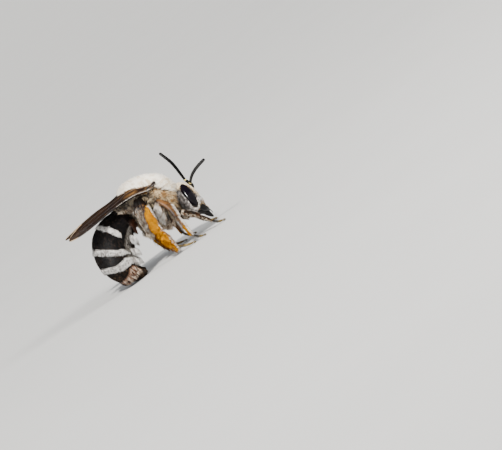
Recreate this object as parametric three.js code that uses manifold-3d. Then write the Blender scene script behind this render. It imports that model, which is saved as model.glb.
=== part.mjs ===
// Female banded digger bee at life size, standing on a floor with its abdomen curled down.
// Millimetres. +X is forward, +Y the bee's left, +Z up, and the floor is Z = 0.
// Every solid reaches out to the tips of the hair that grows on it.
import * as THREE from 'three';
import { mergeVertices } from 'three/addons/utils/BufferGeometryUtils.js';
import Module from 'manifold-3d';

const wasm = await Module();
wasm.setup();

// ---- driving dimensions ----------------------------------------------------------------
const GAP = 0.06;                 // thin cut left between neighbouring pieces
const SLIVER = 2e-3;              // corners closer than this are one corner
const FLOOR = 0;                  // the level that the feet and the abdomen tip stand on

// Outline of the thorax in side view, tail end first: [x, z] of the back and of the belly,
// and the half width at that place.
const THORAX_OUTLINE = [
  { back: [-0.35, 5.75], belly: [-0.32, 4.55], halfWidth: 0.85 },
  { back: [-0.02, 7.00], belly: [0.10, 3.25], halfWidth: 1.80 },
  { back: [0.50, 7.90], belly: [0.60, 2.60], halfWidth: 2.30 },
  { back: [1.25, 8.04], belly: [1.40, 2.35], halfWidth: 2.50 },
  { back: [2.50, 7.72], belly: [2.50, 2.30], halfWidth: 2.50 },
  { back: [3.60, 7.22], belly: [3.40, 2.50], halfWidth: 2.30 },
  { back: [4.36, 6.58], belly: [3.95, 3.15], halfWidth: 1.80 },
  { back: [4.74, 5.75], belly: [4.12, 4.00], halfWidth: 1.15 },
];

// The same for the abdomen, waist first.
const ABDOMEN_OUTLINE = [
  { back: [-0.25, 5.70], belly: [-0.20, 4.55], halfWidth: 0.80 },
  { back: [-0.70, 6.32], belly: [-0.48, 4.28], halfWidth: 1.60 },
  { back: [-1.35, 6.52], belly: [-0.64, 3.86], halfWidth: 2.00 },
  { back: [-2.30, 6.52], belly: [-0.84, 3.42], halfWidth: 2.20 },
  { back: [-3.22, 6.28], belly: [-1.04, 2.98], halfWidth: 2.30 },
  { back: [-4.35, 5.58], belly: [-1.24, 2.52], halfWidth: 2.34 },
  { back: [-5.08, 4.38], belly: [-1.42, 2.08], halfWidth: 2.30 },
  { back: [-5.36, 3.40], belly: [-1.58, 1.70], halfWidth: 2.18 },
  { back: [-5.30, 2.40], belly: [-1.74, 1.36], halfWidth: 2.00 },
  { back: [-4.98, 1.50], belly: [-1.84, 1.08], halfWidth: 1.76 },
  { back: [-4.42, 0.78], belly: [-1.88, 0.90], halfWidth: 1.46 },
  { back: [-3.50, 0.22], belly: [-1.86, 0.74], halfWidth: 1.05 },
  { back: [-2.45, -0.04], belly: [-1.98, 0.55], halfWidth: 0.42 },
];
// Places in that list, counted in its steps, where the six plates of the back begin and end.
const PLATE_EDGES = [0, 2.05, 4.18, 6.2, 8.2, 10.1, 12];

// The head has its own frame: +x out of the face, +y left, +z to the crown.
const HEAD_CENTRE = [4.95, 0, 3.65];
const HEAD_TURN = 8;              // degrees, towards the bee's left
const HEAD_OUTLINE = [            // crown first; rear and front are x, in the head's frame
  { z: 1.62, rear: -0.25, front: 0.28, halfWidth: 0.55 },
  { z: 1.38, rear: -0.62, front: 0.72, halfWidth: 1.42 },
  { z: 0.92, rear: -0.86, front: 0.97, halfWidth: 2.02 },
  { z: 0.20, rear: -0.98, front: 1.10, halfWidth: 2.24 },
  { z: -0.50, rear: -0.96, front: 1.10, halfWidth: 2.18 },
  { z: -1.10, rear: -0.86, front: 1.02, halfWidth: 1.86 },
  { z: -1.55, rear: -0.56, front: 0.92, halfWidth: 1.30 },
  { z: -1.78, rear: -0.10, front: 0.72, halfWidth: 0.70 },
];
const EYE = { centre: [-0.14, 1.82, 0.05], length: 0.58, depth: 0.46, height: 1.24 };
const EYE_TURN = 30;              // degrees that the front rim of the eye turns inwards
const LABRUM = { top: [0.72, 0, -1.30], tip: [0.82, 0, -2.20], halfWidth: 0.55, halfDepth: 0.26 };
const MANDIBLE = [[0.12, 1.30, -1.35], [0.50, 1.02, -1.95], [0.88, 0.36, -2.36]];
const MANDIBLE_RADII = [0.30, 0.28, 0.25];
const PROBOSCIS = [[0.30, 0, -1.70], [0.62, 0, -2.40], [0.98, 0, -3.05]];
const PROBOSCIS_RADII = [0.36, 0.32, 0.25];

// Feelers: the scape springs from the face, then the flagellum bends away at the elbow.
const FEELER_RADIUS = 0.25;
const SCAPE = {
  right: [[5.88, -0.32, 3.78], [5.92, -0.72, 4.12], [5.86, -1.12, 4.46]],
  left: [[5.92, 0.42, 3.86], [5.96, 0.68, 4.30], [5.84, 0.90, 4.74]],
};
const FLAGELLUM = {
  right: [[5.86, -1.14, 4.48], [6.27, -1.65, 4.93], [6.72, -2.12, 5.22], [7.25, -2.62, 5.43],
    [7.95, -3.22, 5.62]],
  left: [[5.84, 0.92, 4.78], [5.84, 1.06, 5.50], [5.84, 1.20, 6.20], [5.76, 1.34, 6.95],
    [5.45, 1.50, 8.00]],
};

// Folded wings. Each row is [x, y of the front edge, y of the hind edge] on the right side.
const WING_HALF_THICKNESS = 0.25;
const FOREWING_PLAN = [
  [2.70, -2.32, -1.84], [1.75, -2.52, -1.55], [0.55, -2.74, -1.10], [-0.85, -2.94, -0.50],
  [-2.25, -3.06, -0.14], [-3.60, -3.10, -0.14], [-4.62, -3.00, -0.40], [-5.44, -2.76, -0.92],
  [-5.92, -2.42, -1.38], [-6.15, -2.10, -1.75],
];
const HINDWING_PLAN = [
  [2.05, -2.28, -1.84], [0.80, -2.48, -1.45], [-0.80, -2.60, -0.72], [-2.20, -2.58, -0.46],
  [-3.35, -2.40, -0.80], [-3.95, -2.08, -1.25], [-4.15, -1.85, -1.50],
];
const WING_BASE_HEIGHT = 6.44;    // mid-surface of the forewing at its root
const WING_RIDGE_HEIGHT = 7.32;   // its inner edge, over the second back plate
const WING_RISE_LENGTH = 5.2;     // the wing climbs over this length and then runs level
const WING_DROOP = 12.5;          // degrees that the outer edge hangs
const HINDWING_DROP = 0.56;       // the hindwing lies this far under the forewing
const TEGULA = { centre: [2.98, 2.02, 6.46], halfSize: [0.42, 0.30, 0.26] };

// Legs on the right side; the left ones are their mirror images. Each piece is a list of
// centres with a radius at each, and may be flattened across the leg.
const LEGS = {
  fore: {
    coxa: { points: [[3.42, -0.92, 2.85], [3.95, -1.20, 2.20]], radii: [0.42, 0.36] },
    femur: { points: [[3.95, -1.20, 2.20], [3.72, -1.78, 2.66], [3.46, -2.34, 2.98]],
      radii: [0.30, 0.38, 0.32] },
    tibia: { points: [[3.46, -2.34, 2.98], [4.10, -2.50, 2.36], [4.72, -2.58, 1.62]],
      radii: [0.28, 0.36, 0.32] },
    basitarsus: { points: [[4.72, -2.58, 1.62], [5.02, -2.62, 1.14], [5.28, -2.66, 0.68]],
      radii: [0.27, 0.27, 0.25] },
    tarsus: { points: [[5.28, -2.66, 0.66], [5.68, -2.70, 0.32], [6.20, -2.76, 0.17]],
      radii: [0.25, 0.25, 0.25] },
  },
  mid: {
    coxa: { points: [[2.05, -0.95, 2.90], [2.22, -1.55, 2.92]], radii: [0.48, 0.42] },
    femur: { points: [[2.22, -1.55, 2.92], [2.24, -2.16, 4.05], [2.32, -2.70, 5.12]],
      radii: [0.36, 0.50, 0.30] },
    tibia: { points: [[2.32, -2.72, 5.14], [2.76, -2.88, 4.10], [2.90, -3.00, 2.88]],
      radii: [0.27, 0.38, 0.36] },
    basitarsus: { points: [[2.90, -3.00, 2.88], [2.94, -3.10, 1.80], [2.98, -3.18, 0.80]],
      radii: [0.30, 0.34, 0.27] },
    tarsus: { points: [[2.98, -3.18, 0.78], [3.40, -3.24, 0.34], [3.92, -3.30, 0.17]],
      radii: [0.25, 0.25, 0.25] },
  },
  hind: {
    coxa: { points: [[0.45, -0.95, 3.05], [0.45, -1.60, 3.40]], radii: [0.55, 0.45] },
    femur: { points: [[0.45, -1.60, 3.40], [0.58, -2.10, 4.80], [0.92, -2.52, 6.05]],
      radii: [0.40, 0.52, 0.36] },
    tibia: { points: [[0.96, -2.58, 6.06], [0.96, -2.70, 4.70], [0.78, -2.78, 3.80],
      [0.74, -2.84, 2.80]], radii: [0.26, 0.42, 0.52, 0.50], flatten: 0.78 },
    basitarsus: { points: [[0.74, -2.84, 2.80], [0.92, -2.92, 1.80], [1.06, -2.98, 1.00],
      [1.16, -3.00, 0.42]], radii: [0.46, 0.52, 0.42, 0.26], flatten: 0.75 },
    tarsus: { points: [[1.30, -3.00, 0.86], [1.80, -3.04, 0.46], [2.28, -3.08, 0.27],
      [2.80, -3.12, 0.17]], radii: [0.25, 0.25, 0.25, 0.25] },
  },
};

const FINISH = {
  plush: { color: 0xe9e0d2, roughness: 0.95 },
  blackPile: { color: 0x1a1718, roughness: 0.8 },
  eye: { color: 0x120c18, roughness: 0.18 },
  face: { color: 0xd8c9ae, roughness: 0.9 },
  shell: { color: 0x16110f, roughness: 0.3 },
  membrane: { color: 0x3b2a20, roughness: 0.35 },
  brownLeg: { color: 0x7a4d25, roughness: 0.6 },
  pollen: { color: 0xf59a07, roughness: 0.95 },
};

// ---- shapes ----------------------------------------------------------------------------
const vector = (xyz) => new THREE.Vector3(...xyz);
const smoothLine = (points) => new THREE.CatmullRomCurve3(points, false, 'catmullrom', 0.5);

// A ring is a centre with two half-axis vectors. The rings are joined by one skin and
// closed by a flat cap at each end; grow swells the body by that much on every side.
function lofted(rings, sideCount, grow) {
  const tube = new THREE.CylinderGeometry(1, 1, 1, sideCount, rings.length - 1);
  const position = tube.getAttribute('position');
  const last = rings.length - 1;
  const headway = rings[last].centre.clone().sub(rings[0].centre).normalize();
  for (let i = 0; i < position.count; i += 1) {
    const index = Math.round((0.5 - position.getY(i)) * last);
    const ring = rings[index];
    const across = ring.across.clone().setLength(ring.across.length() + grow);
    const upward = ring.upward.clone().setLength(ring.upward.length() + grow);
    const point = ring.centre.clone()
      .addScaledVector(across, position.getX(i))
      .addScaledVector(upward, position.getZ(i));
    const outwards = (index === last ? grow : 0) - (index === 0 ? grow : 0);
    point.addScaledVector(headway, outwards);
    position.setXYZ(i, point.x, point.y, point.z);
  }
  return solidFrom(tube);
}

function solidFrom(geometry) {
  const bare = geometry.toNonIndexed();
  bare.deleteAttribute('normal');
  bare.deleteAttribute('uv');
  const merged = mergeVertices(bare, SLIVER);
  const vertProperties = new Float32Array(merged.getAttribute('position').array);
  const triVerts = new Uint32Array(merged.getIndex().array);
  if (enclosedVolume(vertProperties, triVerts) < 0) {
    for (let i = 0; i < triVerts.length; i += 3) {
      [triVerts[i + 1], triVerts[i + 2]] = [triVerts[i + 2], triVerts[i + 1]];
    }
  }
  return new wasm.Manifold(new wasm.Mesh({ numProp: 3, vertProperties, triVerts }));
}

function enclosedVolume(points, triangles) {
  const corner = (index) => new THREE.Vector3().fromArray(points, 3 * triangles[index]);
  let sum = 0;
  for (let i = 0; i < triangles.length; i += 3) {
    sum += corner(i).dot(corner(i + 1).cross(corner(i + 2)));
  }
  return sum / 6;
}

function geometryFrom(solid) {
  const mesh = solid.getMesh();
  const geometry = new THREE.BufferGeometry();
  geometry.setAttribute('position', new THREE.BufferAttribute(mesh.vertProperties, 3));
  geometry.setIndex(new THREE.BufferAttribute(mesh.triVerts, 1));
  geometry.computeVertexNormals();
  return geometry;
}

// Rings that span two outlines of the body, seen from the side, from one step to another.
function ringsOfTrunk(outline, from, to, ringCount) {
  const last = outline.length - 1;
  const back = smoothLine(outline.map((row) => new THREE.Vector3(row.back[0], 0, row.back[1])));
  const belly = smoothLine(outline.map((row) => new THREE.Vector3(row.belly[0], 0, row.belly[1])));
  const width = smoothLine(outline.map((row, i) => new THREE.Vector3(i, row.halfWidth, 0)));
  return Array.from({ length: ringCount }, (_, i) => {
    const t = (from + (to - from) * i / (ringCount - 1)) / last;
    const top = back.getPoint(t);
    const bottom = belly.getPoint(t);
    return {
      centre: top.clone().add(bottom).multiplyScalar(0.5),
      across: new THREE.Vector3(0, width.getPoint(t).y, 0),
      upward: top.clone().sub(bottom).multiplyScalar(0.5),
    };
  });
}

// A limb is a round bar along a line of centres, with rounded ends.
function limb({ points, radii, flatten = 1 }, ringCount, sideCount) {
  const line = smoothLine(points.map(vector));
  const widths = smoothLine(radii.map((radius, i) => new THREE.Vector3(i, radius, 0)));
  const rings = Array.from({ length: ringCount }, (_, i) => {
    const t = i / (ringCount - 1);
    const heading = line.getTangent(t);
    const across = new THREE.Vector3(heading.z, 0, -heading.x).normalize();
    const upward = across.clone().cross(heading).normalize();
    const endRound = Math.sqrt(Math.max(0.3, 1 - Math.pow(Math.abs(2 * t - 1), 8)));
    const radius = widths.getPoint(t).y * endRound;
    return {
      centre: line.getPoint(t),
      across: across.multiplyScalar(radius),
      upward: upward.multiplyScalar(radius * flatten),
    };
  });
  return (grow) => lofted(rings, sideCount, grow);
}

function ellipsoid(centre, halfSize, turnDegrees, sideCount = 14, ringCount = 10) {
  return (grow) => {
    const ball = new THREE.SphereGeometry(1, sideCount, ringCount);
    ball.rotateX(Math.PI / 2);
    ball.scale(...halfSize.map((half) => half + grow));
    ball.rotateZ(THREE.MathUtils.degToRad(turnDegrees));
    ball.translate(...centre);
    return solidFrom(ball);
  };
}

const mirrored = (xyz) => [xyz[0], -xyz[1], xyz[2]];
const onSide = (side, xyz) => (side === 'right' ? xyz : mirrored(xyz));

function fromHead(xyz) {
  const turn = THREE.MathUtils.degToRad(HEAD_TURN);
  return vector(xyz).applyAxisAngle(new THREE.Vector3(0, 0, 1), turn).add(vector(HEAD_CENTRE));
}

// ---- pieces ----------------------------------------------------------------------------
function thorax(grow) {
  return lofted(ringsOfTrunk(THORAX_OUTLINE, 0, THORAX_OUTLINE.length - 1, 11), 18, grow);
}

function abdomenPlate(number) {
  const rings = ringsOfTrunk(ABDOMEN_OUTLINE, PLATE_EDGES[number - 1], PLATE_EDGES[number], 4);
  return (grow) => lofted(rings, 18, grow);
}

function headCapsule(grow) {
  const line = smoothLine(HEAD_OUTLINE.map((row) => new THREE.Vector3(row.rear, row.front, row.z)));
  const width = smoothLine(HEAD_OUTLINE.map((row, i) => new THREE.Vector3(i, row.halfWidth, 0)));
  const ringCount = 11;
  const rings = Array.from({ length: ringCount }, (_, i) => {
    const t = i / (ringCount - 1);
    const { x: rear, y: front, z } = line.getPoint(t);
    const centre = fromHead([(rear + front) / 2, 0, z]);
    return {
      centre,
      across: fromHead([(rear + front) / 2, width.getPoint(t).y, z]).sub(centre),
      upward: fromHead([front, 0, z]).sub(centre),
    };
  });
  return lofted(rings, 18, grow);
}

function eye(side) {
  const centre = fromHead(onSide(side, mirrored(EYE.centre)));
  const turn = HEAD_TURN + (side === 'right' ? EYE_TURN : -EYE_TURN);
  return ellipsoid(centre.toArray(), [EYE.length, EYE.depth, EYE.height], turn, 12, 10);
}

function labrum(grow) {
  const rings = [0, 0.35, 0.7, 1].map((t) => {
    const local = vector(LABRUM.top).lerp(vector(LABRUM.tip), t).toArray();
    const centre = fromHead(local);
    const taper = 1 - 0.45 * t * t;
    const acrossPoint = [local[0], LABRUM.halfWidth * taper, local[2]];
    const frontPoint = [local[0] + LABRUM.halfDepth, 0, local[2]];
    return {
      centre,
      across: fromHead(acrossPoint).sub(centre),
      upward: fromHead(frontPoint).sub(centre),
    };
  });
  return lofted(rings, 12, grow);
}

function mandible(side) {
  const points = MANDIBLE.map((xyz) => fromHead(onSide(side, mirrored(xyz))).toArray());
  return limb({ points, radii: MANDIBLE_RADII }, 5, 8);
}

const proboscis = limb(
  { points: PROBOSCIS.map((xyz) => fromHead(xyz).toArray()), radii: PROBOSCIS_RADII }, 5, 8);

function feeler(points) {
  return limb({ points, radii: points.map(() => FEELER_RADIUS) }, 2 * points.length - 1, 8);
}

// The wing's mid-surface climbs from the root, and its outer edge hangs by the droop.
function wing(side, plan, drop) {
  const droop = Math.tan(THREE.MathUtils.degToRad(WING_DROOP));
  const innerY = plan[Math.floor(plan.length / 2)][2];
  const rings = plan.map(([x, front, hind]) => {
    const travel = Math.min(1, (FOREWING_PLAN[0][0] - x) / WING_RISE_LENGTH);
    const climb = (WING_RIDGE_HEIGHT - WING_BASE_HEIGHT) * Math.sin(travel * Math.PI / 2);
    const ridge = WING_BASE_HEIGHT + climb;
    const height = (y) => ridge - drop - travel * droop * (innerY - y);
    const centreY = (front + hind) / 2;
    const half = new THREE.Vector3(0, (front - hind) / 2, (height(front) - height(hind)) / 2);
    const centre = new THREE.Vector3(x, centreY, height(centreY));
    if (side === 'left') {
      centre.y *= -1;
      half.y *= -1;
    }
    return { centre, across: half, upward: new THREE.Vector3(0, 0, WING_HALF_THICKNESS) };
  });
  return (grow) => lofted(rings, 8, grow);
}

function legPiece(side, plan) {
  const points = plan.points.map((xyz) => onSide(side, xyz));
  return limb({ ...plan, points }, 2 * points.length, 8);
}

function coxaAndFemur(side, leg) {
  const coxa = legPiece(side, leg.coxa);
  const femur = legPiece(side, leg.femur);
  return (grow) => coxa(grow).add(femur(grow));
}

// ---- the list of pieces: each yields to those before it --------------------------------
const pieces = [];
const addPiece = (name, make, finish) => pieces.push({ name, make, finish });
const SIDES = ['right', 'left'];

addPiece('thorax', thorax, FINISH.plush);
for (let number = 1; number < PLATE_EDGES.length; number += 1) {
  addPiece(`abdomen_${number}`, abdomenPlate(number), FINISH.blackPile);
}
for (const side of SIDES) {
  addPiece(`eye_${side}`, eye(side), FINISH.eye);
  addPiece(`antenna_scape_${side}`, feeler(SCAPE[side]), FINISH.shell);
}
addPiece('head', headCapsule, FINISH.face);
addPiece('labrum', labrum, FINISH.shell);
addPiece('proboscis', proboscis, FINISH.shell);
for (const side of SIDES) {
  addPiece(`mandible_${side}`, mandible(side), FINISH.shell);
  addPiece(`antenna_flagellum_${side}`, feeler(FLAGELLUM[side]), FINISH.shell);
  const tegulaCentre = onSide(side, mirrored(TEGULA.centre));
  addPiece(`tegula_${side}`, ellipsoid(tegulaCentre, TEGULA.halfSize, 0, 10, 5), FINISH.shell);
  addPiece(`forewing_${side}`, wing(side, FOREWING_PLAN, 0), FINISH.membrane);
  addPiece(`hindwing_${side}`, wing(side, HINDWING_PLAN, HINDWING_DROP), FINISH.membrane);
}
for (const side of SIDES) {
  for (const [place, leg] of Object.entries(LEGS)) {
    const finish = place === 'hind' ? FINISH.pollen : FINISH.brownLeg;
    addPiece(`${place}leg_femur_${side}`, coxaAndFemur(side, leg), FINISH.brownLeg);
    addPiece(`${place}leg_tibia_${side}`, legPiece(side, leg.tibia), finish);
    addPiece(`${place}leg_basitarsus_${side}`, legPiece(side, leg.basitarsus), finish);
    addPiece(`${place}leg_tarsus_${side}`, legPiece(side, leg.tarsus), FINISH.brownLeg);
  }
}

function boxesMeet(a, b) {
  return [0, 1, 2].every((axis) => a.min[axis] < b.max[axis] && b.min[axis] < a.max[axis]);
}

// A cut can shave off slivers: their corners are merged away and the main body is kept.
function largestBody(solid) {
  const bodies = solidFrom(geometryFrom(solid)).decompose();
  return bodies.reduce((best, body) => (body.volume() > best.volume() ? body : best));
}

// Everything below the floor is cut away, which leaves the small flats that the bee rests on.
const FLOOR_BLOCK = { side: 40, depth: 10 };
const underFloor = new THREE.BoxGeometry(FLOOR_BLOCK.side, FLOOR_BLOCK.side, FLOOR_BLOCK.depth);
underFloor.translate(0, 0, FLOOR - FLOOR_BLOCK.depth / 2);
const floorBlock = solidFrom(underFloor);

const bee = new THREE.Group();
const earlier = [];
for (const { name, make, finish } of pieces) {
  let solid = make(0).subtract(floorBlock);
  for (const neighbour of earlier) {
    if (boxesMeet(solid.boundingBox(), neighbour.box)) solid = solid.subtract(neighbour.swollen);
  }
  solid = largestBody(solid);
  const swollen = make(GAP);
  earlier.push({ swollen, box: swollen.boundingBox() });
  const material = new THREE.MeshStandardMaterial({ ...finish, metalness: 0 });
  const mesh = new THREE.Mesh(geometryFrom(solid), material);
  mesh.name = name;
  bee.add(mesh);
}

// The origin is on the floor, under the middle of the bee's box.
const middle = new THREE.Box3().setFromObject(bee).getCenter(new THREE.Vector3());
bee.position.set(-middle.x, -middle.y, 0);

export default bee;
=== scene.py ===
"""A female banded digger bee as a still, life-size model: coat, shell, eyes, wings, pollen and floor."""
import math

import bpy
import numpy as np
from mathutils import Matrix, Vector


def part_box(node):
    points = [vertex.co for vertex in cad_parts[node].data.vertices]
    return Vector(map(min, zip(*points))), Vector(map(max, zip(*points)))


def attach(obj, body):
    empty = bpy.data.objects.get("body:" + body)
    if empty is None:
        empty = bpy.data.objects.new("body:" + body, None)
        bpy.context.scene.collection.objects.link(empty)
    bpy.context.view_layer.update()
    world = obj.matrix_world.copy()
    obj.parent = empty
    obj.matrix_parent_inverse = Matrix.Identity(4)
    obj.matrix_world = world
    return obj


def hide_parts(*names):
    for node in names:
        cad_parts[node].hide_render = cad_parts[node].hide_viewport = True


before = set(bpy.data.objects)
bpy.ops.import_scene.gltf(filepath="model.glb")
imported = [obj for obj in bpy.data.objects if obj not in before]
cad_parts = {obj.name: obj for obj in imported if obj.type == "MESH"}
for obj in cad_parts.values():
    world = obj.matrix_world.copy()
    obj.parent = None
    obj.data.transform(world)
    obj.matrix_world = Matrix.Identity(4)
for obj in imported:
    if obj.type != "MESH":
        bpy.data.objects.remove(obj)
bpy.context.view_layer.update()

# Measures below are in millimetres, with +X out of the face from near the waist and +Z up from the floor.
# SHIFT carries them to where the CAD stands.
MM = 0.001
THORAX_REAR = -0.35
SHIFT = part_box("thorax")[0][0] / MM - THORAX_REAR
FULL_TURN = 2 * math.pi
# The size of a tuft's place on the chart, and the step that slopes are measured over.
PATCH = 0.003
STEP = 1e-3
# Layers of the seeded unevenness, waves in each, and what their sum is scaled by.
LUMP_LAYERS = 3
LUMP_WAVES = 5
LUMP_HEIGHT = 2.2
rng = np.random.default_rng(1707)


# ---------------------------------------------------------------- camera, floor and lights

CAMERA_TURN = math.radians(6)
CAMERA_CLIMB = math.radians(6)
CAMERA_ROLL = math.radians(36)
CAMERA_REACH = 300
CAMERA_VIEW_WIDTH = 45.64
CAMERA_SENSOR = 36
CAMERA_AIM = (7.22, -1.945)
LIGHTS_AIM = (0, 0, 3.5)


def set_camera():
    """Looks at the bee's right side from a little in front and above, rolled with the floor."""
    level = np.array([math.cos(CAMERA_TURN), -math.sin(CAMERA_TURN), 0])
    lean = math.sin(CAMERA_CLIMB)
    rise = np.array([lean * math.sin(CAMERA_TURN), lean * math.cos(CAMERA_TURN), math.cos(CAMERA_CLIMB)])
    back = np.cross(level, rise)
    across = math.cos(CAMERA_ROLL) * level - math.sin(CAMERA_ROLL) * rise
    upward = math.sin(CAMERA_ROLL) * level + math.cos(CAMERA_ROLL) * rise
    place = CAMERA_AIM[0] * level + CAMERA_AIM[1] * rise + CAMERA_REACH * back
    data = bpy.data.cameras.new("camera")
    data.sensor_width = CAMERA_SENSOR
    data.lens = CAMERA_SENSOR * CAMERA_REACH / CAMERA_VIEW_WIDTH
    data.clip_start = 0.01
    data.clip_end = 100
    camera = bpy.data.objects.new("camera", data)
    bpy.context.scene.collection.objects.link(camera)
    columns = np.eye(4)
    columns[:3, 0] = across
    columns[:3, 1] = upward
    columns[:3, 2] = back
    columns[:3, 3] = place * MM
    camera.matrix_world = columns.T.tolist()
    bpy.context.scene.camera = camera


def aim(thing, place):
    """Puts a light at a place in millimetres and points it at the bee's middle."""
    thing.location = [value * MM for value in place]
    gap = np.array(LIGHTS_AIM, float) - np.array(place, float)
    reach = np.linalg.norm(gap)
    pitch = math.acos(-gap[2] / reach)
    thing.rotation_euler = (pitch, 0, math.atan2(gap[1], gap[0]) - math.pi / 2)


def soft_box(name, place, size, power, tint):
    """A rectangle of light, with its place and size in millimetres."""
    data = bpy.data.lights.new(name, "AREA")
    data.shape = "RECTANGLE"
    data.size = size[0] * MM
    data.size_y = size[1] * MM
    data.energy = power
    data.color = tint
    lamp = bpy.data.objects.new(name, data)
    bpy.context.scene.collection.objects.link(lamp)
    aim(lamp, place)
    return lamp


# ---------------------------------------------------------------- shapes


def unit(vectors):
    return vectors / np.maximum(np.linalg.norm(vectors, axis=-1, keepdims=True), 1e-9)


def spline(knots, share):
    """A smooth run through the knots, with share from 0 to 1; the ends carry straight on."""
    knots = np.asarray(knots, float)
    share = np.atleast_1d(np.asarray(share, float))
    padded = np.concatenate([[2 * knots[0] - knots[1]], knots, [2 * knots[-1] - knots[-2]]])
    count = len(knots) - 1
    travel = np.clip(share, 0, 1) * count
    first = np.minimum(travel.astype(int), count - 1)
    part = (travel - first)[:, None]
    a, b, c, d = (padded[first + step] for step in range(4))
    bend = (c - a) * part + (2 * a - 5 * b + 4 * c - d) * part ** 2 + (3 * b - a - 3 * c + d) * part ** 3
    return b + bend / 2


def smooth_step(low, high, value):
    share = np.clip((value - low) / (high - low), 0, 1)
    return share * share * (3 - 2 * share)


def line(value, *stops):
    """Straight lines between (place, height) stops."""
    places, heights = zip(*stops)
    return np.interp(value, places, heights)


def lumps(points, size, seed):
    """Smooth seeded unevenness from about -1 to 1, with features of the given size."""
    local = np.random.default_rng(seed)
    total = np.zeros(len(points))
    weight = 0
    for layer in range(LUMP_LAYERS):
        scale = 2 ** layer / size
        for _ in range(LUMP_WAVES):
            heading = unit(local.normal(size=3))
            total += np.sin(points @ heading * scale * math.pi + local.uniform(0, FULL_TURN)) / 2 ** layer
        weight += LUMP_HEIGHT / 2 ** layer
    return total / weight


def slopes(surface, first, second):
    """A place on a surface and its two running directions there."""
    place = surface(first, second)
    along = (surface(first + STEP, second) - surface(first - STEP, second)) / (2 * STEP)
    around = (surface(first, second + STEP) - surface(first, second - STEP)) / (2 * STEP)
    return place, along, around


def mirrored(points):
    return points * np.array([1, -1, 1])


def closed_grid(rows, sectors):
    """Quads of a tube of rings, and triangles that close its two ends on a point each."""
    ring = np.arange(sectors)
    following = (ring + 1) % sectors
    starts = np.arange(rows - 1)[:, None] * sectors
    onward = starts + sectors
    quads = np.stack([starts + ring, starts + following, onward + following, onward + ring], -1)
    first_pole = rows * sectors
    last = (rows - 1) * sectors
    near_cap = np.stack([following, ring, np.full(sectors, first_pole)], -1)
    far_cap = np.stack([last + ring, last + following, np.full(sectors, first_pole + 1)], -1)
    return quads.reshape(-1, 4), np.concatenate([near_cap, far_cap])


def sheet_grid(rows, columns):
    """Quads of an open sheet of rows."""
    at = np.arange(rows - 1)[:, None] * columns + np.arange(columns - 1)
    return np.stack([at, at + columns, at + columns + 1, at + 1], -1).reshape(-1, 4)


class Shape:
    """Points and faces gathered from several forms, then made into one mesh."""

    def __init__(self):
        self.points = []
        self.quads = []
        self.triangles = []
        self.charts = []
        self.along = []
        self.locks = []
        self.total = 0

    def add(self, points, quads=None, triangles=None, charts=None, along=None, locks=None):
        if quads is not None:
            self.quads.append(quads + self.total)
        if triangles is not None:
            self.triangles.append(triangles + self.total)
        self.points.append(points)
        self.charts.append(np.zeros((len(points), 2)) if charts is None else charts)
        self.along.append(np.zeros(len(points)) if along is None else along)
        self.locks.append(np.zeros(len(points)) if locks is None else locks)
        self.total += len(points)

    def add_mirror(self, other):
        """The same forms on the bee's other side."""
        start = self.total
        points = mirrored(np.concatenate(other.points))
        self.points.append(points)
        charts = np.concatenate(other.charts)
        self.charts.append(charts * [1, 0.5] + [0, 0.5])
        self.along.append(np.concatenate(other.along))
        self.locks.append(np.concatenate(other.locks))
        self.quads += [faces[:, ::-1] + start for faces in other.quads]
        self.triangles += [faces[:, ::-1] + start for faces in other.triangles]
        self.total += len(points)

    def make(self, name, slot, materials, nodes=(), zones=None, coat=False):
        """One piece from everything gathered; a coat also gets its chart and its tones from root to tip."""
        points = np.concatenate(self.points) + [SHIFT, 0, 0]
        faces = [np.concatenate(group) for group in (self.quads, self.triangles) if group]
        corners = np.concatenate([group.ravel() for group in faces])
        sizes = np.concatenate([np.full(len(group), group.shape[1]) for group in faces])
        mesh = bpy.data.meshes.new(name)
        mesh.vertices.add(len(points))
        mesh.vertices.foreach_set("co", (points * MM).ravel())
        mesh.loops.add(len(corners))
        mesh.loops.foreach_set("vertex_index", corners.astype(np.int32))
        mesh.polygons.add(len(sizes))
        mesh.polygons.foreach_set("loop_start", (np.cumsum(sizes) - sizes).astype(np.int32))
        if zones is not None:
            mesh.polygons.foreach_set("material_index", zones.astype(np.int32))
        mesh.update(calc_edges=True)
        mesh.shade_smooth()
        if coat:
            layer = mesh.uv_layers.new(name="OFBake")
            layer.data.foreach_set("uv", np.concatenate(self.charts)[corners].astype(np.float32).ravel())
            for label, values in (("along", self.along), ("lock", self.locks)):
                tone = mesh.attributes.new(label, "FLOAT", "POINT")
                tone.data.foreach_set("value", np.concatenate(values).astype(np.float32))
        for material in materials:
            mesh.materials.append(material)
        piece = bpy.data.objects.new(name, mesh)
        bpy.context.scene.collection.objects.link(piece)
        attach(piece, "root")
        if nodes:
            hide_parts(*nodes)


def make_pair(right, name, slot, finish, node_name=None, coat=False):
    """A right-hand piece and its mirror on the left; both names get the side's word at the end."""
    left = Shape()
    left.add_mirror(right)
    for shape, word in ((right, "right"), (left, "left")):
        nodes = [f"{node_name}_{word}"] if node_name else ()
        shape.make(f"{name}_{word}", slot, [finish], nodes, coat=coat)


def tube_surface(path, radii, flatten=1.0, guide=(0, 1, 0)):
    """A limb's surface: share along it from 0 to 1, and the angle round it."""
    radii = np.array(radii, float)[:, None]

    def surface(share, angle):
        heading = unit(spline(path, share + 0.005) - spline(path, share - 0.005))
        side = unit(np.cross(heading, np.array(guide, float)))
        other = np.cross(side, heading)
        radius = spline(radii, share)
        turn = np.asarray(angle)[:, None]
        return spline(path, share) + radius * (np.cos(turn) * side + np.sin(turn) * other * flatten)

    return surface


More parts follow.
